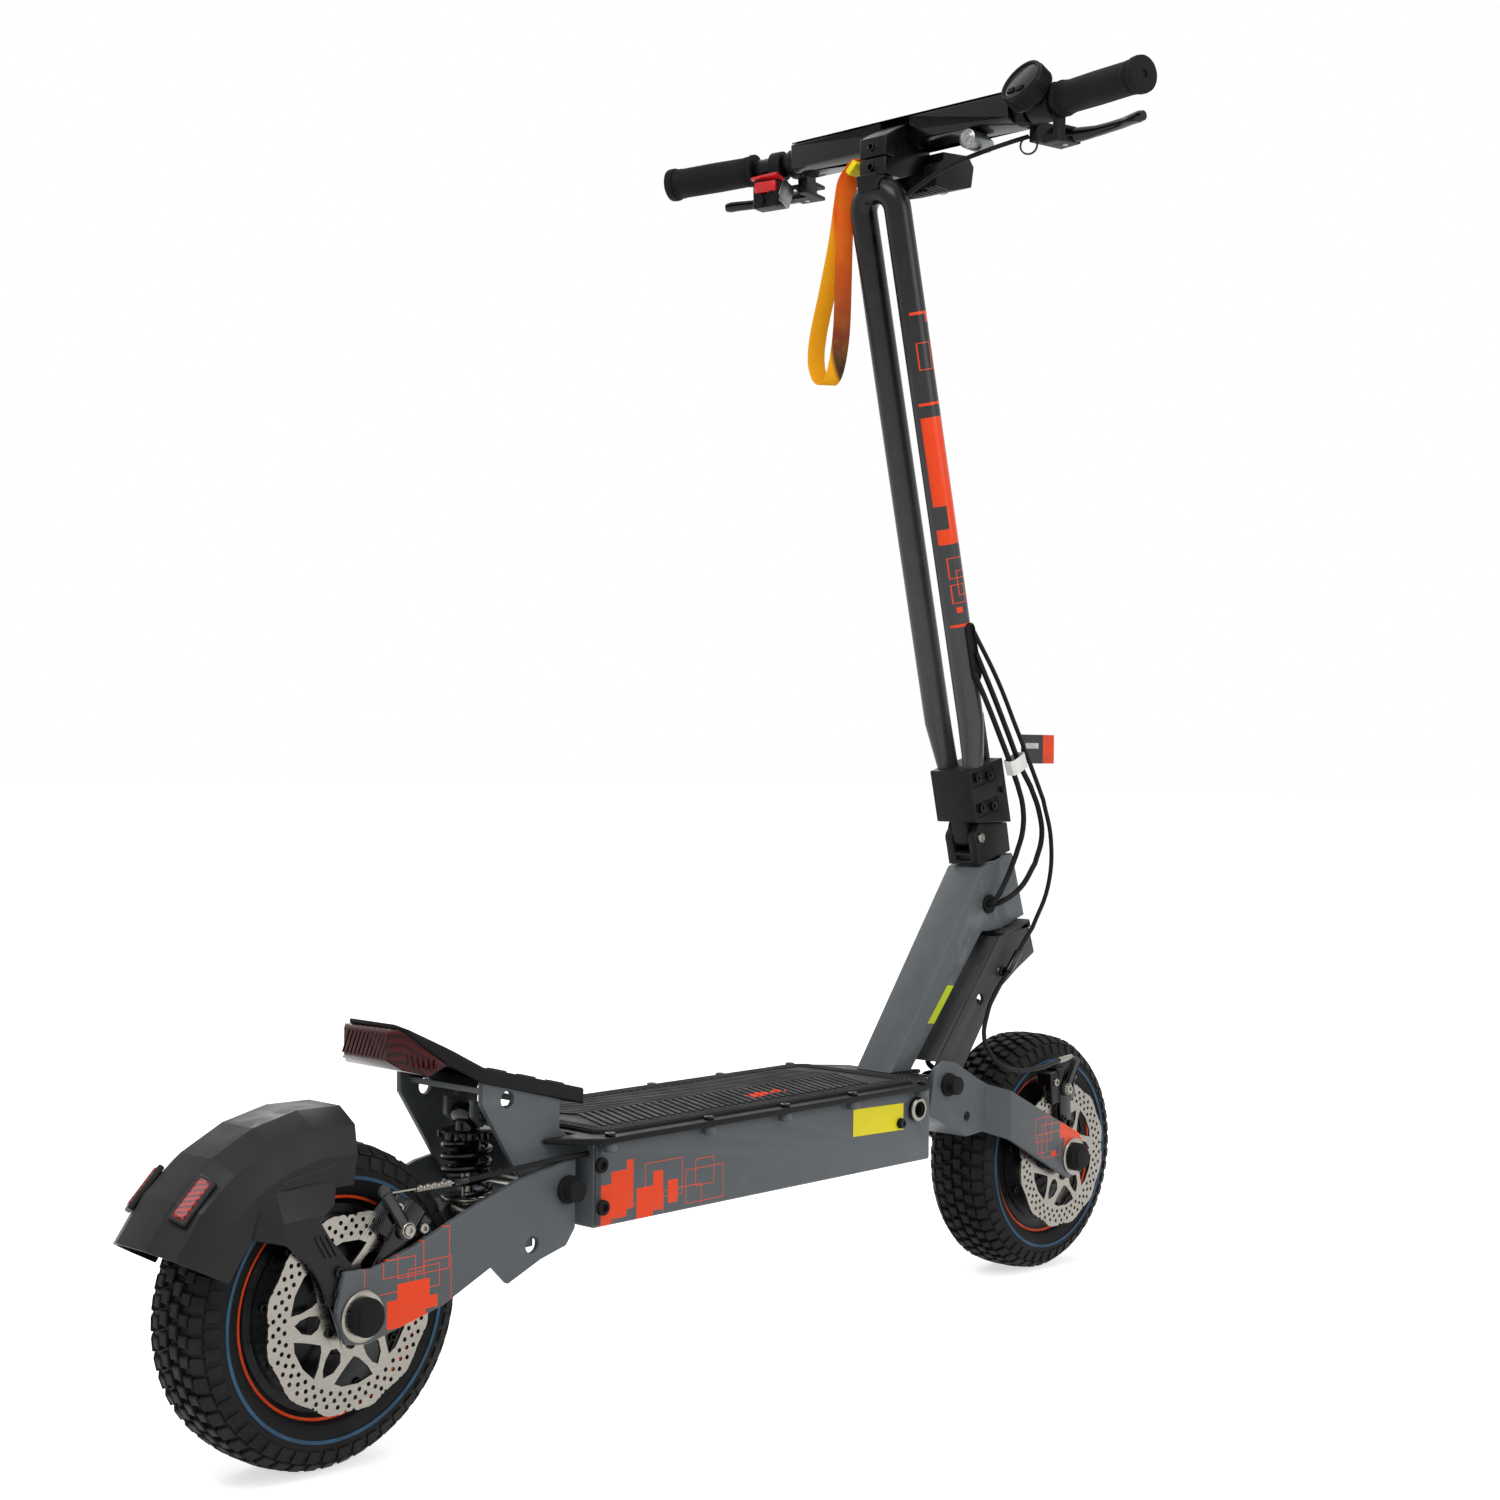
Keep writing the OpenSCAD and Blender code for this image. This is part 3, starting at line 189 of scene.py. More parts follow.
def settle(obj):
    """Leaves edit mode and moves the object's place into its mesh."""
    only(obj)
    bpy.ops.object.transform_apply(location=True, rotation=True, scale=True)
    return obj


def extrude(push):
    bpy.ops.mesh.extrude_region_move(TRANSFORM_OT_translate={"value": push})


def tidy_normals(obj):
    """Joins points that meet and turns the faces outward."""
    edit(obj)
    bpy.ops.mesh.remove_doubles(threshold=WELD)
    bpy.ops.mesh.normals_make_consistent(inside=False)
    return settle(obj)


def traced(points):
    """A chain of edges through the points, drawn by extruding one vertex; left in edit mode."""
    clear()
    bpy.ops.mesh.primitive_plane_add(size=MM, location=points[0])
    obj = bpy.context.active_object
    edit(obj)
    bpy.ops.mesh.merge(type="CENTER")
    for here, there in zip(points, points[1:]):
        extrude(there - here)
    bpy.ops.mesh.select_all(action="SELECT")
    return obj


def slab(outline, push):
    """A closed outline filled and pushed into a plate."""
    obj = traced(outline)
    bpy.ops.mesh.edge_face_add()
    extrude(push)
    return tidy_normals(obj)


def lathe(profile, centre, axis=LEFT, steps=64):
    """Turns a profile of (radius, height) about an axis through the centre."""
    side = axis.orthogonal().normalized()
    points = [centre + side * (r * MM) + axis * (h * MM) for r, h in profile]
    obj = traced(points)
    bpy.ops.mesh.spin(steps=steps, angle=TURN, center=centre, axis=axis)
    return tidy_normals(obj)


def dialled(obj, count, centre, axis=LEFT):
    """Repeats the whole mesh count times round an axis."""
    edit(obj)
    bpy.ops.mesh.spin(
        steps=count - 1, dupli=True, angle=TURN * (count - 1) / count, center=centre, axis=axis
    )
    return settle(obj)


def block(centre, size, turn=0.0, turn_axis="Y"):
    """A cube primitive of the given size in millimetres, turned about its own centre."""
    clear()
    bpy.ops.mesh.primitive_cube_add(size=1, location=centre)
    obj = bpy.context.active_object
    obj.scale = Vector(size) * MM
    obj.rotation_euler["XYZ".index(turn_axis)] = turn
    return settle(obj)


def laid(obj, centre, along, up):
    """Turns a piece made at the origin so its X runs along and its Z leans up, and moves it."""
    along = along.normalized()
    across = up.cross(along).normalized()
    axes = Matrix((along, across, along.cross(across))).transposed()
    obj.matrix_world = Matrix.Translation(centre) @ axes.to_4x4()
    return settle(obj)


def barrel(start, end, radius, sides=32):
    """A cylinder from start to end."""
    clear()
    along = end - start
    bpy.ops.mesh.primitive_cylinder_add(
        vertices=sides,
        radius=radius * MM,
        depth=along.length,
        location=(start + end) / 2,
        rotation=along.to_track_quat("Z", "Y").to_euler(),
    )
    return settle(bpy.context.active_object)


def modified(obj, kind, **settings):
    """Adds a modifier of the kind, with its settings, and applies it."""
    only(obj)
    bpy.ops.object.modifier_add(type=kind)
    modifier = obj.modifiers[-1]
    for key, value in settings.items():
        setattr(modifier, key, value)
    bpy.ops.object.modifier_apply(modifier=modifier.name)
    return obj


def bevelled(obj, width, segments=2, angle=30):
    return modified(obj, "BEVEL", width=width * MM, segments=segments, limit_method="ANGLE",
                    angle_limit=math.radians(angle), use_clamp_overlap=False)


def cut(obj, cutter):
    """Takes the cutter's shape out of the object."""
    modified(obj, "BOOLEAN", operation="DIFFERENCE", solver="EXACT", object=cutter)
    bpy.data.objects.remove(cutter)
    return obj


def joined(*objects):
    only(*objects)
    if len(objects) > 1:
        bpy.ops.object.join()
    return objects[0]


def tube(points, radius, sides=4, shares=None, smooth=6):
    """A round tube along a smooth curve; shares scales the radius at each point."""
    curve = bpy.data.curves.new("route", "CURVE")
    curve.dimensions = "3D"
    curve.bevel_depth = radius * MM
    curve.bevel_resolution = sides
    curve.resolution_u = smooth
    curve.use_fill_caps = True
    spline = curve.splines.new("BEZIER")
    spline.bezier_points.add(len(points) - 1)
    for index, (knot, place) in enumerate(zip(spline.bezier_points, points)):
        knot.co = place
        knot.handle_left_type = knot.handle_right_type = "AUTO"
        knot.radius = shares[index] if shares else 1.0
    obj = bpy.data.objects.new("route", curve)
    bpy.context.scene.collection.objects.link(obj)
    only(obj)
    bpy.ops.object.convert(target="MESH")
    return tidy_normals(bpy.context.active_object)


def bolt(centre, axis, radius=4.5, height=3.4):
    """A socket-head bolt: a turned head with a six-sided socket, standing on the centre."""
    axis = axis.normalized()
    head = lathe(
        [(0, 0), (radius, 0), (radius, height - 0.7), (radius - 0.7, height), (0, height)],
        centre, axis, 20,
    )
    floor = centre + axis * (height * 0.45 * MM)
    socket = barrel(floor, centre + axis * ((height + 1) * MM), radius * 0.55, 6)
    return cut(head, socket)


def from_frame(node, width=0.8, segments=2):
    """A welded and bevelled copy of a solid part, with its flat faces joined up."""
    only(frame["nodes"][node])
    bpy.ops.object.duplicate()
    copy = bpy.context.active_object
    for key in list(copy.keys()):
        del copy[key]
    copy.parent = None
    copy.data.materials.clear()
    if copy.data.has_custom_normals:
        bpy.ops.mesh.customdata_custom_splitnormals_clear()
    edit(copy)
    bpy.ops.mesh.remove_doubles(threshold=COPY_WELD)
    bpy.ops.mesh.dissolve_limited(angle_limit=FLAT_ANGLE)
    settle(copy)
    if width:
        bevelled(copy, width, segments)
    return copy


def painted(obj, finish):
    """Gives the whole mesh one of the materials, by its name."""
    obj.data.materials.clear()
    obj.data.materials.append(MATERIALS[finish])
    return obj


def named(obj, name, angle):
    """Names a piece and smooths its edges that turn less than the angle."""
    only(obj)
    bpy.ops.object.shade_smooth_by_angle(angle=math.radians(angle))
    obj.name = name
    obj.data.name = name
    return obj


def finished(obj, name, body, nodes=(), angle=32):
    """Names a piece and ties it to its body, its finish and the parts it stands for."""
    named(obj, name, angle)
    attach(obj, body)
    if nodes:
        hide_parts(*nodes)


def stands_for(obj, node, name, angle=32):
    """Finishes a piece that takes the place of one solid part, on the same body."""
    finished(obj, name, BODY_OF[node], (node,), angle)


def blended(obj, name, first, second, start, end, nodes):
    """Names a piece that bends from one body to the next between two places."""
    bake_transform(named(obj, name, 40))
    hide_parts(*nodes)


MATERIALS = {}
BODY_OF = {node: body for body, nodes in frame["record"]["behaviour"]["bodies"].items() for node in nodes}
SLOT_OF = {part["node"]: part["material_slot"] for part in frame["record"]["subparts"]}


# ---- Shader building ----

def feed(tree, node, values):
    """Gives a node's inputs their values, or links them to other nodes' outputs."""
    for key, value in values.items():
        if isinstance(value, bpy.types.NodeSocket):
            tree.links.new(value, node.inputs[key])
        else:
            node.inputs[key].default_value = value


def add_node(tree, kind, inputs=None, **settings):
    made = tree.nodes.new(kind)
    for key, value in settings.items():
        setattr(made, key, value)
    feed(tree, made, inputs or {})
    return made


def math_node(tree, operation, first, second=0.0, clamp=False):
    return add_node(
        tree, "ShaderNodeMath", {0: first, 1: second}, operation=operation, use_clamp=clamp
    ).outputs[0]


def times(tree, first, second, clamp=False):
    return math_node(tree, "MULTIPLY", first, second, clamp)


def parts_of(tree, vector):
    return add_node(tree, "ShaderNodeSeparateXYZ", {0: vector}).outputs


def vector_math(tree, operation, inputs):
    return add_node(tree, "ShaderNodeVectorMath", inputs, operation=operation).outputs[0]


def blend_colour(tree, share, first, second):
    """Colour of first shaded to second by share."""
    mix = add_node(tree, "ShaderNodeMix", {"Factor": share, 6: first, 7: second}, data_type="RGBA")
    return mix.outputs[2]


def bumped(tree, height, strength, distance):
    """A normal bent by a height, over a distance in millimetres."""
    return add_node(tree, "ShaderNodeBump", {
        "Height": height, "Strength": strength, "Distance": distance * MM,
    }).outputs[0]


def bands(tree, vector, scale, direction, **more):
    return add_node(tree, "ShaderNodeTexWave", {"Vector": vector, "Scale": scale, **more},
                    wave_type="BANDS", bands_direction=direction).outputs["Fac"]


def spread(tree, value, low, high, new_low=0.0, new_high=1.0):
    return add_node(tree, "ShaderNodeMapRange", {
        "Value": value, "From Min": low, "From Max": high, "To Min": new_low, "To Max": new_high,
    }).outputs["Result"]


def noise(tree, vector, scale, detail=3.0, distortion=0.0):
    return add_node(tree, "ShaderNodeTexNoise", {
        "Vector": vector, "Scale": scale, "Detail": detail, "Distortion": distortion,
    }).outputs["Fac"]


def new_group(name, inputs, outputs):
    """An empty shader node group with its sockets; returns it with its two end nodes."""
    group = bpy.data.node_groups.new(name, "ShaderNodeTree")
    for label, kind, value in inputs:
        socket = group.interface.new_socket(name=label, in_out="INPUT", socket_type=kind)
        if value is not None:
            socket.default_value = value
    for label in outputs:
        group.interface.new_socket(name=label, in_out="OUTPUT", socket_type="NodeSocketFloat")
    return group, group.nodes.new("NodeGroupInput").outputs, group.nodes.new("NodeGroupOutput").inputs


FLOAT = "NodeSocketFloat"
VECTOR = "NodeSocketVector"


def grain_group():
    """Fine moulded or powder-coated grain, and the slow mottle under it."""
    group, given, result = new_group(
        "Fine Grain", [("Vector", VECTOR, None), ("Scale", FLOAT, 900.0)], ["Height", "Mottle"]
    )
    link = group.links.new
    fine = noise(group, given["Vector"], given["Scale"], 2.0)
    pebble = add_node(group, "ShaderNodeTexVoronoi", {"Vector": given["Vector"], "Scale": given["Scale"]})
    both = math_node(group, "ADD", times(group, fine, 0.6),
                     times(group, pebble.outputs["Distance"], 0.5))
    link(both, result["Height"])
    link(noise(group, given["Vector"], 22.0, 5.0, 0.4), result["Mottle"])
    return group


def wear_group():
    """Rubbed edges: where the surface is sharply raised, broken up by noise."""
    group, given, result = new_group("Rubbed Edges", [("Vector", VECTOR, None)], ["Mask"])
    raised = spread(group, group.nodes.new("ShaderNodeNewGeometry").outputs["Pointiness"], 0.52, 0.62)
    patch = spread(group, noise(group, given["Vector"], 60.0, 6.0), 0.42, 0.66)
    group.links.new(times(group, raised, patch, True), result["Mask"])
    return group


def dust_group():
    """Dust that settles on faces that look up."""
    group, given, result = new_group("Settled Dust", [("Vector", VECTOR, None)], ["Mask"])
    normal = group.nodes.new("ShaderNodeNewGeometry").outputs["Normal"]
    up = spread(group, parts_of(group, normal)["Z"], 0.2, 1.0)
    patch = spread(group, noise(group, given["Vector"], 38.0, 8.0, 0.8), 0.35, 0.75)
    group.links.new(times(group, up, patch, True), result["Mask"])
    return group


def area_group():
    """One inside a box given by its centre and half size, nought outside."""
    group, given, result = new_group(
        "Box Area", [("Vector", VECTOR, None), ("Centre", VECTOR, None), ("Half", VECTOR, None)], ["Mask"]
    )
    size = vector_math(group, "ABSOLUTE", {0: vector_math(group, "SUBTRACT", {
        0: given["Vector"], 1: given["Centre"]})})
    inside = vector_math(group, "SUBTRACT", {0: given["Half"], 1: size})
    parts = parts_of(group, inside)
    least = math_node(group, "MINIMUM", parts["X"], parts["Y"])
    least = math_node(group, "MINIMUM", least, parts["Z"])
    group.links.new(spread(group, least, 0.0, 0.15 * MM), result["Mask"])
    return group


def streak_group():
    """Fine lines left by turning or brushing, along the vector's first axis."""
    group, given, result = new_group("Brushed Lines", [("Vector", VECTOR, None)], ["Height", "Tone"])
    stretched = add_node(group, "ShaderNodeMapping", {"Vector": given["Vector"], "Scale": (40, 1400, 1400)})
    lines = noise(group, stretched.outputs["Vector"], 1.0, 3.0)
    group.links.new(lines, result["Height"])
    group.links.new(spread(group, lines, 0.3, 0.7), result["Tone"])
    return group


GROUP_MAKERS = {
    "grain": grain_group, "wear": wear_group, "dust": dust_group, "area": area_group, "streak": streak_group,
}
GROUPS = {}


def group_node(tree, name, inputs):
    """A shared effect, made the first time that it is called for."""
    if name not in GROUPS:
        GROUPS[name] = GROUP_MAKERS[name]()
    made = tree.nodes.new("ShaderNodeGroup")
    made.node_tree = GROUPS[name]
    feed(tree, made, inputs)
    return made.outputs


def linear(text):
    """A colour written as #rrggbb, as the linear values that shaders use."""
    values = [int(text[i:i + 2], 16) / 255 for i in (1, 3, 5)]
    return tuple(v / 12.92 if v <= 0.04045 else ((v + 0.055) / 1.055) ** 2.4 for v in values) + (1.0,)


DUST_COLOUR = linear("#8d8a84")
MOTTLE = 0.18
WORN_LIFT = 2.6


def lighter(colour, share):
    return tuple(min(1.0, v * share) for v in colour[:3]) + (1.0,)


def new_material(name):
    material = bpy.data.materials.new(name)
    material.use_nodes = True
    tree = material.node_tree
    tree.nodes.clear()
    output = tree.nodes.new("ShaderNodeOutputMaterial")
    shader = tree.nodes.new("ShaderNodeBsdfPrincipled")
    tree.links.new(shader.outputs[0], output.inputs["Surface"])
    vector = tree.nodes.new("ShaderNodeTexCoord").outputs["Object"]
    return material, tree, shader, vector


def coated(name, colour, rough=0.45, grain=900.0, depth=0.02, wear=0.35, dust=0.12, metallic=0.0,
           coat=0.0, shine=0.3, graphics=None):
    """Paint, moulded plastic or rubber: mottled colour, grain, rubbed edges and dust."""
    material, tree, shader, vector = new_material(name)
    base = linear(colour) if isinstance(colour, str) else colour
    fine = group_node(tree, "grain", {"Vector": vector, "Scale": grain})
    tone = blend_colour(tree, fine["Mottle"], lighter(base, 1 - MOTTLE), lighter(base, 1 + MOTTLE))
    if graphics:
        tone = graphics(tree, vector, tone)
    rubbed = group_node(tree, "wear", {"Vector": vector})["Mask"]
    tone = blend_colour(tree, times(tree, rubbed, wear), tone, lighter(base, WORN_LIFT))
    settled = group_node(tree, "dust", {"Vector": vector})["Mask"]
    tone = blend_colour(tree, times(tree, settled, dust), tone, DUST_COLOUR)
    gloss = spread(tree, fine["Mottle"], 0.3, 0.7, rough - 0.06, rough + 0.08)
    feed(tree, shader, {
        "Base Color": tone, "Metallic": metallic, "Coat Weight": coat, "Coat Roughness": 0.08,
        "Roughness": math_node(tree, "ADD", gloss, times(tree, settled, 0.25), True),
        "Specular IOR Level": shine, "Normal": bumped(tree, fine["Height"], 0.35, depth)})
    return material


def metal(name, colour, rough=0.22, depth=0.01):
    """Turned or ground bare metal with fine lines and a slightly uneven tone."""
    material, tree, shader, vector = new_material(name)
    base = linear(colour)
    lines = group_node(tree, "streak", {"Vector": vector})
    fine = group_node(tree, "grain", {"Vector": vector, "Scale": 500.0})
    tone = blend_colour(tree, lines["Tone"], lighter(base, 0.85), lighter(base, 1.1))
    tone = blend_colour(tree, spread(tree, fine["Mottle"], 0.4, 0.8, 0.0, 0.25), tone, lighter(base, 0.6))
    feed(tree, shader, {
        "Base Color": tone, "Metallic": 1.0,
        "Roughness": spread(tree, lines["Tone"], 0.0, 1.0, rough - 0.05, rough + 0.1),
        "Normal": bumped(tree, lines["Height"], 0.3, depth)})
    return material


def lens(name, colour, rough=0.06, glow=0.0, through=0.0, coat=1.0, shine=0.5):
    """Clear or tinted moulded lens with a fine pattern of bars behind its skin."""
    material, tree, shader, vector = new_material(name)
    base = linear(colour)
    wave = bands(tree, vector, 90.0, "DIAGONAL", Distortion=0.4, Detail=1.0)
    fine = group_node(tree, "grain", {"Vector": vector, "Scale": 300.0})
    tone = blend_colour(tree, wave, lighter(base, 0.35), lighter(base, 1.7))
    tone = blend_colour(tree, times(tree, fine["Mottle"], 0.3), tone, lighter(base, 0.4))
    feed(tree, shader, {
        "Base Color": tone, "Transmission Weight": through, "Coat Weight": coat, "Specular IOR Level": shine,
        "Coat Roughness": 0.03, "Roughness": spread(tree, fine["Mottle"], 0.3, 0.7, rough, rough + 0.06),
        "Normal": bumped(tree, wave, 0.25, 0.15)})
    # On the red reflector, which is no lamp, this emission is a painted glow.
    if glow:
        feed(tree, shader, {"Emission Color": tone, "Emission Strength": glow})
    return material


# ---- Artwork: plain blocks and outlines laid over the paint ----

PALETTE = {"artwork": linear("#f0440e")}


def area_mask(tree, vector, centre, half):
    return group_node(tree, "area", {"Vector": vector, "Centre": centre, "Half": half})["Mask"]


def artwork(tree, vector, base, blocks, frames, line=0.6 * MM):
    """Solid blocks and thin outlined boxes, each given as (centre, half size), over the base colour."""
    shares = [area_mask(tree, vector, centre, half) for centre, half in blocks]
    for centre, half in frames:
        outer = area_mask(tree, vector, centre, half)
        inner = area_mask(tree, vector, centre, (half[0] - line, half[1], half[2] - line))
        shares.append(math_node(tree, "SUBTRACT", outer, inner, True))
    mask = shares[0]
    for share in shares[1:]:
        mask = math_node(tree, "MAXIMUM", mask, share)
    return blend_colour(tree, mask, base, PALETTE["artwork"])


def side_boxes(boxes, y, deep=9):
    """Boxes given in millimetres as (x0, x1, z0, z1) on the right side, as centres and half sizes."""
    return [(at((x0 + x1) / 2, -y, (z0 + z1) / 2), mm((x1 - x0) / 2, deep, (z1 - z0) / 2))
            for x0, x1, z0, z1 in boxes]


def tub_artwork(tree, vector, base):
    blocks = [(236, 250, 160, 196), (250, 268, 166, 206), (268, 276, 172, 214), (280, 300, 158, 188),
              (300, 312, 166, 200), (318, 330, 170, 190)]
    frames = [(252, 300, 150, 176), (290, 336, 176, 208), (312, 360, 152, 182), (340, 388, 166, 196),
              (352, 376, 180, 204)]
    return artwork(tree, vector, base, side_boxes(blocks, 81), side_boxes(frames, 81))


def rear_arm_artwork(tree, vector, base):
    blocks = [(24, 62, 112, 134), (34, 66, 128, 146), (48, 74, 122, 132)]
    frames = [(2, 52, 140, 166), (34, 86, 150, 184), (60, 88, 118, 160), (20, 60, 152, 176),
              (44, 76, 138, 156)]
    return artwork(tree, vector, base, side_boxes(blocks, 65), side_boxes(frames, 65))


def front_arm_artwork(tree, vector, base):
    blocks = [(938, 972, 126, 158), (930, 948, 150, 166), (914, 922, 132, 138)]
    frames = [(884, 914, 150, 176), (896, 930, 132, 168), (888, 906, 138, 158), (902, 944, 158, 184)]
    return artwork(tree, vector, base, side_boxes(blocks, 58, 14), side_boxes(frames, 58, 14))


def stem_artwork(tree, vector, base):
    """Darker towards the arch; the artwork is on the right tube, across is u and along is w."""
    place = {"Vector": vector, "Location": HEAD, "Rotation": (0, -LEAN, 0)}
    leaning = add_node(tree, "ShaderNodeMapping", place, vector_type="TEXTURE").outputs["Vector"]
    height = parts_of(tree, leaning)["Z"]
    base = blend_colour(tree, spread(tree, height, 0.3, 0.7), base, linear("#080808"))
    blocks = [(-23, 1, 616, 619), (-9, -5, 608, 619), (-24, 0, 524, 527), (-24, -4, 420, 512),
              (-16, 0, 392, 440), (-24, -2, 380, 396), (-20, -14, 308, 314), (-24, 0, 293, 296)]
    frames = [(-22, -8, 560, 588), (-5, 1, 548, 602), (-22, -2, 344, 366), (-16, 0, 326, 352),
              (-22, -8, 318, 338), (-3, 2, 400, 500)]

    def boxes(items):
        return [(mm((a + b) / 2, -31, (c + d) / 2), mm((b - a) / 2, 9, (d - c) / 2)) for a, b, c, d in items]

    return artwork(tree, leaning, base, boxes(blocks), boxes(frames), 0.8 * MM)


def deck_artwork(tree, vector, base):
    boxes = [(468, 484, 30, 44), (484, 496, 26, 40), (496, 520, 32, 38), (510, 516, 24, 34)]
    blocks = [(at((x0 + x1) / 2, -(y0 + y1) / 2, MAT_TOP / MM), mm((x1 - x0) / 2, (y1 - y0) / 2, 6))
              for x0, x1, y0, y1 in boxes]
    return artwork(tree, vector, base, blocks, [])


def strap_artwork(tree, vector, base):
    """One side of the loop is yellow, and the other runs from orange down to a dark red."""
    parts = parts_of(tree, vector)
    across = spread(tree, parts["Y"], 54 * MM, 57 * MM)
    down = spread(tree, parts["Z"], ARCH_TOP.z - 0.17, ARCH_TOP.z - 0.03)
    tone = blend_colour(tree, down, linear("#3c1a1e"), linear("#f0650c"))
    tone = blend_colour(tree, across, tone, linear("#fcae0a"))
    weave = bands(tree, vector, 420.0, "Z")
    return blend_colour(tree, times(tree, weave, 0.15), tone, linear("#3a1a08"))


def card_artwork(tree, vector, base):
    end = area_mask(tree, vector, at(929, -48, 568), (11 * MM, 4 * MM, 20 * MM))
    bar = area_mask(tree, vector, at(898, -48, 572), (12 * MM, 4 * MM, 3 * MM))
    tone = blend_colour(tree, end, base, PALETTE["artwork"])
    return blend_colour(tree, bar, tone, linear("#c9c9c6"))


# ---- Materials, one for each finish ----

def make_materials(settings):
    grey = tuple(settings.paint_colour) + (1.0,)
    return {
        "side_paint": coated("Grey paint", grey, 0.42, 1400, 0.02, wear=0.3),
        "tub_paint": coated("Grey paint of the tub", grey, 0.42, 1400, 0.02, graphics=tub_artwork),
        "rear_arm_paint": coated("Grey paint of the rear arm", grey, 0.42, 1400, 0.02,
                                 graphics=rear_arm_artwork),
        "front_arm_paint": coated("Grey paint of the front arm", grey, 0.42, 1400, 0.02,
                                  graphics=front_arm_artwork),
        "tube_paint": coated("Dark satin paint of the tubes", "#3d3e40", 0.3, 1600, 0.01, wear=0.15,
                             dust=0.03, coat=0.08, shine=0.25, graphics=stem_artwork),
        "dark_paint": coated("Dark grey coating", "#343537", 0.5, 1100, 0.03),
        "block_coating": coated("Near-black coating", "#141516", 0.45, 1100, 0.03, dust=0.04, shine=0.16),
        "black_metal": coated("Blackened steel", "#121314", 0.28, 1300, 0.01, wear=0.6, dust=0.04,
                              metallic=0.5),
        "bright_steel": metal("Bright steel", "#98948c", 0.26),
        "bare_alloy": metal("Bare alloy", "#8d9092", 0.34),
        "black_plastic": coated("Moulded black plastic", "#101011", 0.46, 1000, 0.05, dust=0.04, shine=0.14),
        "fender_plastic": coated("Moulded plastic of the fender", "#1b1b1c", 0.4, 1000, 0.04, dust=0.04,
                                 shine=0.2),
        "gloss_black": coated("Glossy black", "#080808", 0.2, 800, 0.004, wear=0.1, dust=0.02, coat=0.25,
                              shine=0.2),
        "soft_rubber": coated("Soft rubber", "#131314", 0.66, 700, 0.08, wear=0.2, dust=0.04, shine=0.14),
        "deck_rubber": coated("Deck rubber", "#1b1b1c", 0.6, 700, 0.08, wear=0.3, dust=0.06, shine=0.2,
                              graphics=deck_artwork),
        "tyre_rubber": coated("Tyre rubber", "#141414", 0.62, 600, 0.1, wear=0.5, dust=0.05, shine=0.16),
        "red_lens": lens("Dark red lens", "#3c0407", glow=0.02, coat=0.15, shine=0.15),
        # The red reflector is no lamp: its faint emission is a painted glow.
        "red_lens_bright": lens("Red reflector", "#8c0c10", glow=0.04, coat=0.1, shine=0.2),
        "red_plastic": coated("Red plastic", "#c8121a", 0.3, 900, 0.01, dust=0.04, coat=0.3),
        "clear_lens": lens("Clear lens", "#e6ecef", 0.04, through=0.75),
        "strap_weave": coated("Woven strap", "#f08a10", 0.8, 1500, 0.12, dust=0.02, graphics=strap_artwork),
        "card": coated("Printed card", "#26262a", 0.5, 700, 0.01, graphics=card_artwork),
        "cell_wrap": coated("Cell wrap", "#2b5f8f", 0.35, 500, 0.02),
        "yellow_label": coated("Yellow label", "#f2df1c", 0.42, 900, 0.004, wear=0.05, dust=0.03),
        "lime_label": coated("Lime label", "#b6c51e", 0.42, 900, 0.004, wear=0.05, dust=0.03),
        "orange_ring": coated("Orange ring", "#f2480f", 0.45, 900, 0.01, dust=0.03),
        "blue_line": coated("Blue sidewall line", "#27475f", 0.6, 700, 0.02, dust=0.03),
        "white_band": coated("White tape", "#e6e6e2", 0.55, 900, 0.02),
    }


def frame_piece(node, width=0.8, segments=2, material=None, extras=()):
    """A solid part carried over with rounded edges, joined with its own small extras."""
    made = painted(from_frame(node, width, segments), material or SLOT_OF[node])
    made = joined(made, *extras) if extras else made
    finished(made, node + "_shell", BODY_OF[node], (node,))


def bolts(places, axis, radius=4.5, height=3.4, material="black_metal"):
    """Like bolts on one face, as a list of painted meshes; each is a copy with its own mesh."""
    first = painted(bolt(places[0], axis, radius, height), material)
    made = [first]
    for place in places[1:]:
        only(first)
        bpy.ops.object.duplicate()
        copy = bpy.context.active_object
        copy.location = place - places[0]
        made.append(settle(copy))
    return made


# ---- Wheels ----

TYRE_PROFILE = [
    (86, 29), (89, 33.5), (96, 37), (104, 38.4), (111, 37.2), (117.5, 33), (121.5, 25), (123.2, 12),
]
TYRE_INNER = [(118, 12), (114.5, 26), (101, 33), (86, 22)]
# Radius, offset, size, lean and share of half a pitch, for each row of blocks
TREAD_ROWS = [
    (124.4, 6.5, (10.6, 9.5, 4.4), 0, 0),
    (123.4, 17.5, (8.6, 9, 4.6), -0.16, 0.7),
    (119.6, 27.6, (11.6, 9.6, 5), -0.62, 1),
    (112.0, 36.0, (9, 9.6, 3.4), -1.2, 0),
]


def tread_block(axle, radius, y, size, lean, lead):
    """One rubber block standing on the tread at the top of the wheel, turned to lie on the crown."""
    centre = axle + mm(0, y, radius)
    made = block(centre, size, lean, "X")
    pick(made, "faces", lambda place, normal: normal.z > 0.5)
    bpy.ops.mesh.inset(thickness=0.9 * MM, depth=0.9 * MM)
    settle(made)
    if lead:
        edit(made)
        bpy.ops.transform.rotate(value=lead, orient_axis="Y", center_override=axle)
        settle(made)
    return made


def wheel_rings(profile, axle, finish):
    """A turned ring on each side of a wheel."""
    return [painted(lathe([(r, side * y) for r, y in profile], axle, steps=WHEEL_STEPS), finish)
            for side in (1, -1)]


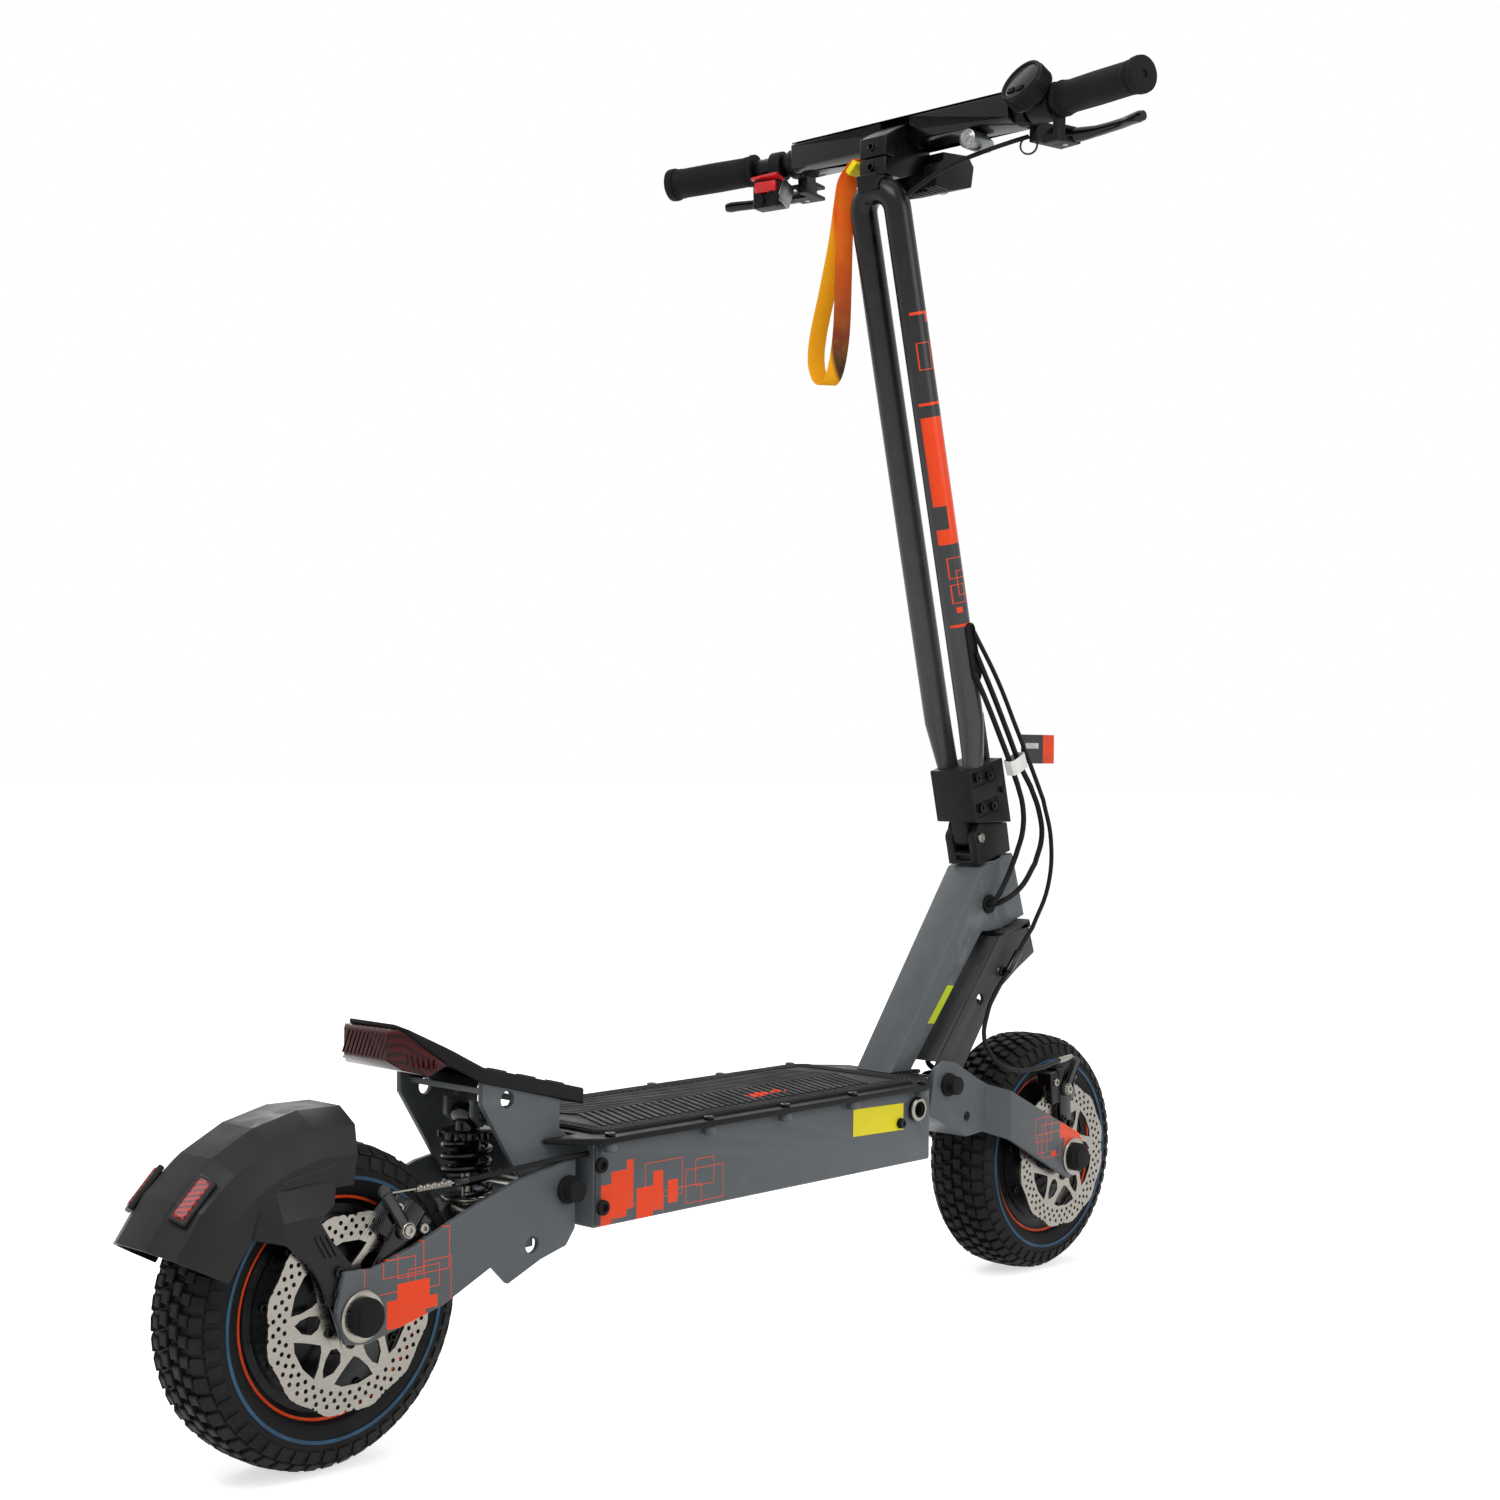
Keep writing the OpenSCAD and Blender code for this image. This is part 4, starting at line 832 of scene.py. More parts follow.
def make_tyre(prefix, axle, blocks_round):
    outer = TYRE_PROFILE + [(r, -y) for r, y in reversed(TYRE_PROFILE)]
    inner = [(r, -y) for r, y in reversed(TYRE_INNER)] + TYRE_INNER
    closed = outer + inner + [TYRE_PROFILE[0]]
    carcass = lathe(closed, axle, steps=WHEEL_STEPS)
    half_pitch = TURN / blocks_round / 2
    blocks = []
    for side, lead in ((1, 0.0), (-1, half_pitch)):
        for radius, y, size, lean, share in TREAD_ROWS:
            turn = lead + half_pitch * share
            blocks.append(tread_block(axle, radius, side * y, size, side * lean, turn))
    tread = dialled(joined(*blocks), blocks_round, axle)
    tyre = painted(joined(carcass, tread), "tyre_rubber")
    line = [(99.6, 38.0), (99.6, 38.75), (102.4, 38.95), (102.4, 38.0), (99.6, 38.0)]
    tyre = joined(tyre, *wheel_rings(line, axle, "blue_line"))
    stands_for(tyre, prefix + "_tyre", prefix + "_tyre_treaded", 28)


HUB_BOLTS = 9


def make_hub(prefix, axle):
    hub = painted(from_frame(prefix + "_hub", 0.8), SLOT_OF[prefix + "_hub"])
    ring = [(84.2, 28.2), (84.2, 29.6), (85.8, 30.1), (87.2, 29.4), (86.9, 28.2), (84.2, 28.2)]
    rib = [(72, 28.8), (72, 30.6), (74, 30.2), (74, 28), (72, 28.8)]
    extras = wheel_rings(ring, axle, "orange_ring") + wheel_rings(rib, axle, "black_metal")
    for side in (1, -1):
        foot = axle + mm(0, side * 30.5, 66)
        heads = dialled(bolt(foot, LEFT * side, 3.6, 4.2), HUB_BOLTS, axle)
        extras.append(painted(heads, "black_metal"))
    valve = barrel(axle + mm(76, 30, 0), axle + mm(72, 39, 0), 2.4, 12)
    extras.append(painted(valve, "bright_steel"))
    stands_for(joined(hub, *extras), prefix + "_hub", prefix + "_hub_bolted")


ROTOR_RADIUS = 78
HOLES_ROUND = 42


def rotor_window(axle, y, outline):
    spots = [(r, math.radians(angle)) for r, angle in outline]
    points = [axle + Vector((r * math.sin(a) * MM, y - 4 * MM, r * math.cos(a) * MM)) for r, a in spots]
    return slab(points, mm(0, 8, 0))


def make_rotor(prefix, axle):
    """Brake rotor with a scalloped rim, slanted arms and three rings of drilled holes."""
    y = middle(prefix + "_rotor").y
    centre = axle + Vector((0, y, 0))
    clear()
    bpy.ops.mesh.primitive_cylinder_add(
        vertices=240, radius=ROTOR_RADIUS * MM, depth=2 * MM, location=centre, rotation=(math.pi / 2, 0, 0))
    disc = settle(bpy.context.active_object)
    waves, dip, steps, arms = 12, 0.032, 5, 6
    for level in range(1, steps):
        low, high = math.cos(math.pi * level / steps), math.cos(math.pi * (level - 1) / steps)

        def in_wave(place, normal):
            angle = math.atan2(place.x - axle.x, place.z - axle.z)
            return low < math.cos(waves * angle) <= high
        pick(disc, "verts", in_wave)
        share = 1 - dip * (1 - (level - 1) / (steps - 1))
        bpy.ops.transform.resize(value=(share, 1, share), center_override=centre)
    settle(disc)
    windows = joined(
        rotor_window(axle, y, [(55.8, -23), (56.2, -8), (55.8, 8), (54, 16), (46, 11), (38, 2), (34, -6),
                               (37, -13), (47, -21)]),
        rotor_window(axle, y, [(28, 27), (31, 17), (38, 14), (46, 20), (52, 29), (47, 33), (39, 36),
                               (31, 36)]),
    )
    windows = dialled(windows, arms, axle)
    through = mm(0, 4, 0)
    holes = []
    for radius, lead in ((61, 0.0), (66.2, 4.0), (71.2, 0.5)):
        place = centre + pitched(math.radians(90 - lead)) * radius * MM
        holes.append(barrel(place - through, place + through, 1.9, 10))
    holes = dialled(joined(*holes), HOLES_ROUND, axle)
    bore = barrel(centre - through, centre + through, 18, 48)
    disc = painted(cut(cut(cut(disc, windows), holes), bore), "bright_steel")
    heads = dialled(bolt(centre + mm(0, -1, 24), RIGHT, 3.6, 2.4), arms, axle)
    rotor = joined(disc, painted(heads, "black_metal"))
    stands_for(rotor, prefix + "_rotor", prefix + "_rotor_drilled", 28)


def make_axle_caps(prefix, axle):
    """Black nut covers, each over a bright washer."""
    arm_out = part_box("rear_arm")[1].y
    rings = []
    for side in (1, -1):
        profile = [(14, 0), (20, 0), (20, 1.8), (18.6, 3.2), (14, 3.2), (14, 0)]
        foot = axle + LEFT * side * arm_out
        rings.append(painted(lathe(profile, foot, LEFT * side, 48), "bright_steel"))
    frame_piece(prefix + "_caps", 1.4, 3, extras=rings)


CALIPER_ANGLE = {"rear": 52, "front": 96}
CALIPER_FACE = -60.5


def caliper_axes(prefix):
    """The angle of a caliper round its axle, the way out from the axle and the way across."""
    angle = math.radians(CALIPER_ANGLE[prefix])
    return angle, pitched(angle), pitched(angle + TURN / 4)


def make_caliper(prefix, axle):
    """Caliper with mounting bolts, pad pins and cooling ribs."""
    angle, outward, across = caliper_axes(prefix)
    extras = []
    for shift in (-16, 16):
        foot = axle + (outward * 84 + across * shift) * MM + mm(0, CALIPER_FACE, 0)
        extras += bolts([foot], RIGHT, 4.2, 3.6, "bright_steel")
    for shift in (-5, 0, 5):
        foot = axle + (outward * 95.5 + across * shift) * MM + mm(0, -51, 0)
        rib = block(foot, (3, 17, 1.6), -angle)
        extras.append(painted(bevelled(rib, 0.4), "gloss_black"))
    for reach, shift in ((34, -6), (42, 6)):
        foot = axle + (outward * reach + across * shift) * MM + mm(0, -62, 0)
        extras += bolts([foot], RIGHT, 3.8, 2.6)
    frame_piece(prefix + "_caliper", 1.6, 3, material="gloss_black", extras=extras)


def make_caliper_arm(prefix, axle):
    outward = caliper_axes(prefix)[1]
    pin = axle + outward * 74 * MM + mm(0, -66.5, 0)
    extras = bolts([pin], RIGHT, 4.6, 2.6, "bright_steel")
    turns = [index * 0.6 for index in range(22)]
    spring = [pin + mm(5.6 * math.cos(turn), 0.6 - turn * 0.12, 5.6 * math.sin(turn)) for turn in turns]
    extras.append(painted(tube(spring, 0.7, 2, smooth=2), "bright_steel"))
    frame_piece(prefix + "_caliper_arm", 0.8, 2, extras=extras)


def build_wheels(settings):
    for prefix, axle in (("rear", REAR_AXLE), ("front", FRONT_AXLE)):
        make_tyre(prefix, axle, settings.tread_blocks)
        make_hub(prefix, axle)
        make_rotor(prefix, axle)
        make_axle_caps(prefix, axle)
        make_caliper(prefix, axle)
        make_caliper_arm(prefix, axle)
        frame_piece(prefix + "_axle", 0.8)


# ---- Deck and chassis ----

TUB_FACE = -81


def make_mat(settings):
    """Ribbed rubber mat: a bordered sheet with rows of chevron ribs."""
    low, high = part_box("deck_mat")
    edge = (high.y - low.y) / 2 / MM
    x0, x1 = (low.x - REAR_AXLE.x) / MM, (high.x - REAR_AXLE.x) / MM
    corner = 12.2
    outline = [(x0, corner - edge), (x0 + corner, -edge), (x1 - corner, -edge), (x1, corner - edge),
               (x1, edge - corner), (x1 - corner, edge), (x0 + corner, edge), (x0, edge - corner)]
    base = LID_TOP / MM
    sheet = slab([at(x, y, base) for x, y in outline], mm(0, 0, 2.2))
    pick(sheet, "faces", lambda place, normal: normal.z > 0.5)
    for thickness, depth in ((1.2, 0), (0.7, 1.5), (1.3, 0), (0.7, -1.5)) * 4:
        bpy.ops.mesh.inset(thickness=thickness * MM, depth=depth * MM)
    settle(sheet)
    reach = edge - 20
    rise = 26
    pitch = settings.rib_pitch / MM
    count = int((x1 - x0 - 2 * 20 - rise) / pitch)
    half = pitch * 0.28
    start = x0 + 21 + rise
    points = [(start - rise, -reach), (start, 0), (start - rise, reach), (start - rise + 2 * half, reach),
              (start + 2 * half, 0), (start - rise + 2 * half, -reach)]
    rib = bevelled(slab([at(x, y, base + 2) for x, y in points], mm(0, 0, 1.8)), 0.5, 1)
    modified(rib, "ARRAY", count=count, use_relative_offset=False, use_constant_offset=True,
             constant_offset_displace=(pitch * MM, 0, 0))
    mat = painted(joined(sheet, rib), "deck_rubber")
    stands_for(mat, "deck_mat", "deck_mat_ribbed")


def label(name, outline, push, material):
    plate = bevelled(slab(outline, push), 0.1, 1)
    finished(painted(plate, material), name, "chassis")


def build_deck(settings):
    frame_piece("deck_tub", 2.2, 3, material="tub_paint")
    frame_piece("deck_lid", 1.2, 3)
    make_mat(settings)
    frame_piece("lid_screws", 0.5, material="black_metal")
    socket_ring = lathe([(8, 0), (11.4, 0), (11.4, 1.6), (10.2, 2.6), (8, 2.6), (8, 0)],
                        at(662.5, -84, 213), RIGHT, 40)
    cap = bolt(at(637.5, -85, 202), RIGHT, 4.6, 1.6)
    frame_piece("side_trims", 0.7, extras=(
        painted(socket_ring, "bright_steel"), painted(cap, "black_metal")))
    frame_piece("neck", 1.8, 3)
    frame_piece("kickstand", 1.2, 3)
    frame_piece("rear_pins", 0.6)
    yellow = [at(x, TUB_FACE, z) for x, z in ((567, 197), (643, 195), (643, 221), (567, 223))]
    label("side_label", yellow, mm(0, -0.35, 0), "yellow_label")
    strip = [at(x, TUB_FACE, z) for x, z in ((230.5, 164), (237, 163), (237, 230), (230.5, 231))]
    edge = bevelled(slab(strip, mm(0, -1.4, 0)), 0.5)
    studs = bolts([at(236, -82, 214), at(238, -82, 178)], RIGHT, 6.5, 4, "soft_rubber")
    finished(joined(painted(edge, "dark_paint"), *studs), "tub_edge_strip", "chassis")
    foot = bolts([at(722, y, LID_TOP / MM) for y in (-34, 34)], UP, 4.6, 3)
    finished(joined(*foot), "neck_foot_bolts", "chassis")


def build_tail(settings):
    edge, height, slope = 127.5, 304, 28 / 110
    pads = []
    for x in (150, 182, 214):
        for side in (-1, 1):
            place = at(x, side * 48, height - (x - edge) * slope)
            pad = block(place, (16, 8, 2.4), math.radians(14.3))
            pads.append(painted(bevelled(pad, 0.7), "black_plastic"))
    frame_piece("kick_plate", 1.6, 3, extras=pads)
    bars = [block(at(52.4, y, 324.5), (1.4, 1.6, 21), math.radians(24), "X") for y in range(-25, 26, 5)]
    for index in range(6):
        share = (index + 0.5) / 6
        for side in (-1, 1):
            place = at(62 + 26 * share, side * (39.2 + 10 * share), 316 - 8 * share)
            bars.append(block(place, (1.6, 1.6, 17 - 8 * share), side * 0.4, "X"))
    frame_piece("tail_lamp", 1.2, 3, extras=[painted(bevelled(bar, 0.4, 1), "red_lens") for bar in bars])
    frame_piece("rear_bracket", 0.8)


# ---- Swing arms and shocks ----

SHOCKS = {
    "rear": (at(160, 0, 256), at(160, 0, 174), 4, 0.735),
    "front": (at(862, 0, 332), at(795, 0, 190), 7, 0.91),
}


def make_shock(prefix):
    """Shock with a notched preload collar, a coil spring and a threaded body."""
    top, low, turns, keep = SHOCKS[prefix]
    along = (low - top).normalized()
    length = (low - top).length / MM
    side = along.orthogonal().normalized()
    other = along.cross(side)
    thread = [(10.5, 20)]
    reach = int(length * 0.5)
    for step in range(20, reach, 2):
        thread += [(10.5, step), (11.3, step + 0.7), (10.5, step + 1.4)]
    thread += [(10.5, reach), (9.5, reach), (9.5, 20), (10.5, 20)]
    notch = bevelled(block(top + along * 16 * MM + side * 23.2 * MM, (3, 3, 5.6)), 0.5)
    frame_piece(prefix + "_shock_body", 0.8, extras=(
        painted(lathe(thread, top, along, 40), "black_metal"),
        painted(dialled(notch, 20, top, along), "gloss_black")))
    frame_piece(prefix + "_shock_rod", 0.8)
    wire, coil_radius = 3.0, 19
    start, end = 19 + wire, length - 14 - wire
    count = turns * 16
    places = []
    for index in range(count + 1):
        angle = TURN * index / 16
        depth = start + (end - start) * index / count
        spoke = side * math.cos(angle) + other * math.sin(angle)
        places.append(top + (along * depth + spoke * coil_radius) * MM)
    spring = painted(tube(places, wire, 3, smooth=2), "gloss_black")
    node = prefix + "_spring"
    finished(spring, prefix + "_coil", prefix + "_damper_rod", (node,))
    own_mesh(spring)


FENDER_CENTRE = (-10, TYRE_RADIUS - 12.5)
FENDER_RADIUS = TYRE_RADIUS + 41
FENDER_FRONT, FENDER_TAIL = 82, 152


def on_fender(angle, radius, y):
    """A point given by its angle in degrees from straight ahead, radius and offset to the left."""
    turn = math.radians(angle)
    x = FENDER_CENTRE[0] + radius * math.cos(turn)
    return at(x, y, FENDER_CENTRE[1] + radius * math.sin(turn))


def fender_shell():
    """Faceted shell: its cross-section stepped round in straight lengths, and closed at both ends."""
    outer = [(0, 0), (0, 20), (-12, 42), (-34, 50), (-58, 50)]
    inner = [(-58, 47), (-35, 47), (-14, 39), (-3, 19), (-3, 0)]
    half = outer + inner
    section = half[:-1] + [(r, -y) for r, y in reversed(half) if y]
    section.insert(len(half) - 1, (-3, 0))
    points = [on_fender(FENDER_FRONT, FENDER_RADIUS + r, y) for r, y in section]
    shell = traced(points + [points[0]])
    bpy.ops.mesh.remove_doubles(threshold=WELD)
    bpy.ops.mesh.edge_face_add()
    steps = 5
    turn = math.radians(FENDER_TAIL - FENDER_FRONT) / steps
    hub = at(FENDER_CENTRE[0], 0, FENDER_CENTRE[1])
    for _ in range(steps):
        bpy.ops.mesh.extrude_region_move()
        bpy.ops.transform.rotate(value=turn, orient_axis="Y", center_override=hub)
    return tidy_normals(shell)


def make_fender():
    """Rear fender with a stay on each side that bends in at its top, bolts, ribs and reflectors."""
    black = "fender_plastic"
    pieces = [painted(bevelled(fender_shell(), 0.6, 2, 12), black)]
    stay = [(-88, 196), (-65, 190), (-44, 172), (-31, 152), (-26, 138), (-14, 136), (-2, 148), (3, 158),
            (-6, 168), (-25, 190), (-34, 204), (-21, 214), (-9, 232), (-11, 244), (-58, 237), (-82, 216)]
    for side in (-1, 1):
        plate = slab([at(x, side * 57, z) for x, z in stay], mm(0, side * 4.5, 0))
        for fold, normal in ((at(0, 0, 207), UP), (at(0, 0, 228), UP), (at(-66, 0, 0), Vector((1, 0, 0)))):
            edit(plate)
            bpy.ops.mesh.bisect(plane_co=fold, plane_no=normal)
        flush = at(-80, 0, 227)
        pick(plate, "verts", lambda place, normal: place.z > flush.z or place.x < flush.x)
        bpy.ops.transform.translate(value=mm(0, -side * 10.7, 0))
        pieces.append(painted(bevelled(settle(plate), 1.2, 2, 20), black))
        for x, z in ((-17, 163), (-18, 147)):
            pieces += bolts([at(x, side * 61.5, z)], LEFT * side, 4.4, 3)
        for x in (-34, -29, -24):
            rib = laid(block(Vector(), (2, 2.4, 20)), at(x, side * 61.8, 184), Vector((1, 0, 0.6)),
                       Vector((-0.5, 0, 1)))
            pieces.append(painted(bevelled(rib, 0.5), black))
        round_wheel, facet = math.radians(136), math.radians(29)
        place = on_fender(136, FENDER_RADIUS - 5, side * 32)
        outward = pitched(round_wheel) * math.cos(facet) + LEFT * side * math.sin(facet)
        for size, width, finish in (((40, 16, 5), 1.4, black), ((34, 11, 7.6), 1.6, "red_lens_bright")):
            plate = laid(block(Vector(), size), place, pitched(round_wheel + TURN / 4), outward)
            pieces.append(painted(bevelled(plate, width, 3), finish))
    stands_for(joined(*pieces), "fender", "fender_faceted", 14)


def build_suspension(settings):
    head = bolts([at(160, -20, 174)], RIGHT, 4.4, 2.4)
    finished(joined(*head), "rear_shock_bolt", "rear_swing")
    frame_piece("rear_arm", 1.2, 3, material="rear_arm_paint")
    head = bolts([at(792, -41, 186)], RIGHT, 4.4, 2.4)
    frame_piece("front_arm", 1.2, 3, material="front_arm_paint", extras=head)
    make_fender()
    for prefix in ("rear", "front"):
        make_shock(prefix)


# ---- Fork and folding stem ----

def make_oval(centre, radius, straight):
    """Long rubber grommet on the tube's side, with a raised lip round its opening."""
    outline = []
    for index in range(24):
        angle = TURN * index / 24
        shift = straight if math.sin(angle) >= 0 else -straight
        rise = shift + radius * math.sin(angle)
        outline.append(centre + on_lean(radius * math.cos(angle), 0, rise) - HEAD)
    oval = slab(outline, mm(0, -2.6, 0))
    pick(oval, "faces", lambda place, normal: normal.y < -0.9)
    for thickness, depth in ((0.8, 0.6), (1.6, 0), (0.6, -2.4)):
        bpy.ops.mesh.inset(thickness=thickness * MM, depth=depth * MM)
    return painted(settle(oval), "soft_rubber")


def build_stem(settings):
    heads = bolts([at(862, -38, 332)], RIGHT, 5.4, 3)
    frame_piece("fork_bracket", 1.2, 3, extras=heads)
    frame_piece("fork_pins", 0.5)
    lime = [at(x, -23, z) for x, z in ((754, 284), (765.5, 283), (798, 320), (787, 321))]
    label("neck_label", lime, mm(0, -0.3, 0), "lime_label")
    frame_piece("fold_base", 1.2, 3, material="block_coating")
    frame_piece("fold_top", 1.4, 3, material="block_coating")
    frame_piece("stem_bolts", 0.4)
    grommet = make_oval(on_lean(-8, -35.2, 264), 7.5, 24)
    frame_piece("stem_tubes", 0, material="tube_paint", extras=(grommet,))
    frame_piece("latch_lever", 1.4, 3)


# ---- Cockpit ----

def make_grips():
    """Smooth grips with rings at both ends and an end flange, on both bar ends."""
    reach = BAR_END_LENGTH
    profile = [(11.2, GRIP_START), (17.4, GRIP_START), (17.6, GRIP_START + 4), (15.4, GRIP_START + 5.2)]
    for y in (GRIP_START + 6, GRIP_START + 9, reach - 18, reach - 15):
        profile += [(15.9, y), (16.3, y + 0.5), (16.3, y + 1.7), (15.5, y + 2.2)]
        if y == GRIP_START + 9:
            profile += [(15.8, y + 6), (16.2, y + 40), (15.9, reach - 19)]
    profile += [(15.4, reach - 11), (17.6, reach - 10), (17.9, reach - 6), (17.4, reach - 2.6),
                (15, reach - 1.7), (4, reach - 1.7), (4, reach - 3.4), (0, reach - 3.4)]
    made = []
    for side in (-1, 1):
        out = (on_bar(side, 0, 1000, 0) - on_bar(side, 0, 0, 0)).normalized()
        made.append(lathe(profile, on_bar(side, 0, 0, 0), out, 48))
    grips = painted(joined(*made), "soft_rubber")
    stands_for(grips, "grips", "grips_ringed", 40)


LEVER_DROP = -21.3


def make_brake_lever(side, node):
    """Curved two-finger lever with a ball end, turning on its perch."""
    path = [(42, 4, 6.5), (43, 14, 7.2), (48, 30, 6.4), (50.5, 46, 5.2), (50.5, 66, 4.8), (49, 86, 4.8),
            (46, 102, 5.0), (45, 112, 5.3), (45, 117, 4.4)]
    places = [on_bar(side, x, y, LEVER_DROP) for x, y, r in path]
    blade = tube(places, 1.0, 5, [r for x, y, r in path])
    edit(blade)
    bpy.ops.transform.resize(value=(1, 1, 1.1), center_override=on_bar(side, 48, 60, LEVER_DROP))
    settle(blade)
    pin_low, pin_high = on_bar(side, 42, 12, -30), on_bar(side, 42, 12, -12.2)
    pin = bevelled(barrel(pin_low, pin_high, 3, 24), 0.4)
    up = (pin_high - pin_low).normalized()
    eye = lathe([(2.9, 0), (8, 0), (8, 7.4), (2.9, 7.4), (2.9, 0)], on_bar(side, 42, 12, -25), up, 32)
    lever = joined(painted(joined(bevelled(eye, 0.8), blade), "gloss_black"), painted(pin, "bright_steel"))
    stands_for(lever, node, node + "_curved", 40)


def make_display():
    """Round display facing the rider, with a ribbed housing, a glass face and two buttons."""
    tilt = Matrix.Rotation(math.radians(-60), 4, "Y")
    base = bar_frame(-1) @ Matrix.Translation(mm(0, -26, 0)) @ tilt @ Matrix.Translation(mm(0, 0, 16.6))
    centre = base.translation
    up = base.to_3x3().col[2].normalized()
    side = base.to_3x3().col[0].normalized()
    glass = lathe([(0, 18.2), (20, 18.2), (20, 19), (19, 19.6), (0, 19.6)], centre, up, 64)
    bezel = lathe([(20.3, 18.4), (24.05, 18.4), (24.05, 19.3), (23.2, 20.7), (21.4, 20.5), (20.3, 18.4)],
                  centre, up, 64)
    rib = laid(block(Vector(), (1.8, 1.6, 14)), centre + side * 24 * MM + up * 9 * MM, side, up)
    extras = [painted(glass, "gloss_black"), painted(bezel, "black_plastic"),
              painted(dialled(bevelled(rib, 0.4, 1), 44, centre, up), "soft_rubber")]
    for shift in (-6, 6):
        foot = centre - side * 12 * MM + up * 20.6 * MM + side.cross(up) * shift * MM
        button = laid(block(Vector(), (6, 9, 2.6)), foot, side, up)
        extras.append(painted(bevelled(button, 0.8), "soft_rubber"))
    frame_piece("throttle_body", 1.0, extras=extras)


def make_front_lamps():
    low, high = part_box("headlight_lens")
    centre = (low + high) / 2
    out = pitched(math.radians(-6))
    start = centre - out * 5 * MM
    bowl = [(2, 0), (6, 1.5), (10, 5), (12.6, 10), (13.4, 10), (10.6, 4.6), (6.5, 0.8), (2, -0.8), (2, 0)]
    bowl = lathe(bowl, start, out, 24)
    cover = lathe([(0, 11.6), (8, 11.2), (12.6, 10), (12.6, 9.2), (8, 10.2), (0, 10.6)], start, out, 48)
    bulb = barrel(start + out * MM, start + out * 4 * MM, 2.4, 16)
    lamp = joined(painted(cover, "clear_lens"), painted(bowl, "bright_steel"), painted(bulb, "yellow_label"))
    stands_for(lamp, "headlight_lens", "headlight_optic")
    frame_piece("headlight_body", 1.2, 3)
    # Marker lamp that hangs under the box and shines back
    rear, front = at(709, -97, 1174.5), at(747, -97, 1174.5)
    back = Vector((-1, 0, 0))
    tube_wall = lathe([(8.4, 0), (9.6, 0.6), (9.6, 26), (8, 30), (7, 36), (0, 36)], rear, -back, 40)
    facets = lathe([(8.4, 0), (6, -1.4), (0, -2), (0, 1), (8.4, 1), (8.4, 0)], rear, -back, 10)
    bowl = lathe([(8.3, 1.2), (5, 6), (1.5, 8), (1.5, 9), (8.3, 4), (8.3, 1.2)], rear, -back, 16)
    tip = bevelled(barrel(front - mm(2, 0, 0), front + mm(6, 0, 0), 2.6, 16), 0.5)
    clip = bevelled(block(at(731, -97, 1184.5), (16, 6, 5)), 0.8)
    marker = joined(painted(tube_wall, "bare_alloy"), painted(facets, "clear_lens"),
                    painted(bowl, "bright_steel"), painted(tip, "yellow_label"),
                    painted(clip, "black_plastic"))
    finished(marker, "marker_lamp", "stem")


def build_cockpit(settings):
    frame_piece("handlebar", 0.4)
    make_grips()
    half = 142
    outline = ((-19, 15.4), (-10.6, 18.2), (20, 17.1), (20, 18.3), (-11, 19.5), (-20.4, 16.4))
    strip = slab([BAR + mm(x, -half, z) for x, z in outline], mm(0, 2 * half, 0))
    frame_piece("cockpit_box", 1.6, 3, extras=(painted(bevelled(strip, 0.5), "gloss_black"),))
    frame_piece("bar_clamp", 1.2, 3)
    make_front_lamps()
    make_display()
    frame_piece("throttle_lever", 1.4, 3)
    frame_piece("brake_perches", 1.0)
    knobs = []
    for y, radius in ((22, 8), (39, 6.4)):
        foot = on_bar(1, -16, y, -38)
        back = (on_bar(1, -1000, 0, 0) - on_bar(1, 0, 0, 0)).normalized()
        profile = [(0, 0), (radius, 0), (radius, 3.4), (radius - 1, 4.6), (radius - 2.4, 4.6),
                   (radius - 3, 3.6), (0, 3.6)]
        knob = lathe(profile, foot, back, 32)
        knobs.append(painted(knob, "soft_rubber"))
    plate = bevelled(block(on_bar(1, -6, 13, -32), (20, 3, 26), 0.35), 1.0)
    knobs.append(painted(plate, "bare_alloy"))
    hood = bevelled(block(on_bar(1, -13, 31, -15.4), (15, 38, 3.6), 0.35), 1.2)
    knobs.append(painted(hood, "red_plastic"))
    frame_piece("switch_body", 1.2, 3, extras=knobs)
    frame_piece("switch_button", 1.4, 3)
    make_brake_lever(-1, "brake_lever_right")
    make_brake_lever(1, "brake_lever_left")


# ---- Cables, strap and tags ----

CABLE_A = [(809, -37, 648), (824, -42, 619), (845, -46, 580), (860, -48, 553), (871, -50, 530),
           (879, -51, 508), (881, -50, 482), (876, -45, 455), (865, -39, 426), (855, -34, 408),
           (853, -29, 403), (853, -20, 403)]
CABLE_B = [(813, -37, 668), (836, -43, 624), (858, -47, 583), (875, -49, 553), (892, -52, 528),
           (906, -53, 502), (913, -52, 474), (907, -48, 446), (889, -42, 420), (866, -35, 406),
           (861, -29, 403), (861, -20, 403)]
CABLE_C = [(809, -37, 690), (842, -44, 640), (868, -49, 592), (888, -54, 552), (904, -60, 514),
           (916, -62, 471), (914, -60, 421), (898, -52, 378), (882, -45, 352), (866, -43, 331),
           (839, -46, 310), (815, -54, 290), (800, -62, 268), (800, -70, 253), (812, -76, 240),
           (840, -78, 232), (888, -74, 231), (926, -68, 234), (958, -62, 234)]
CABLE_BAR = [(748, -144.5, 1176), (738, -130, 1171), (726, -102, 1163), (717, -72, 1154),
             (710, -46, 1142), (703, -25, 1128)]
REAR_HOSE = [(230, -73, 223), (199.5, -73, 223), (159.5, -72, 221), (128.5, -69, 219), (106.5, -65, 217),
             (94.5, -62, 216)]
REAR_WIRE = [(95, -63, 216), (60, -63.5, 216.5), (30, -64.4, 217)]


def routed(points):
    return [at(*point) for point in points]


def sleeve(start, end, radius):
    return painted(bevelled(barrel(start, end, radius, 24), 0.5), "gloss_black")


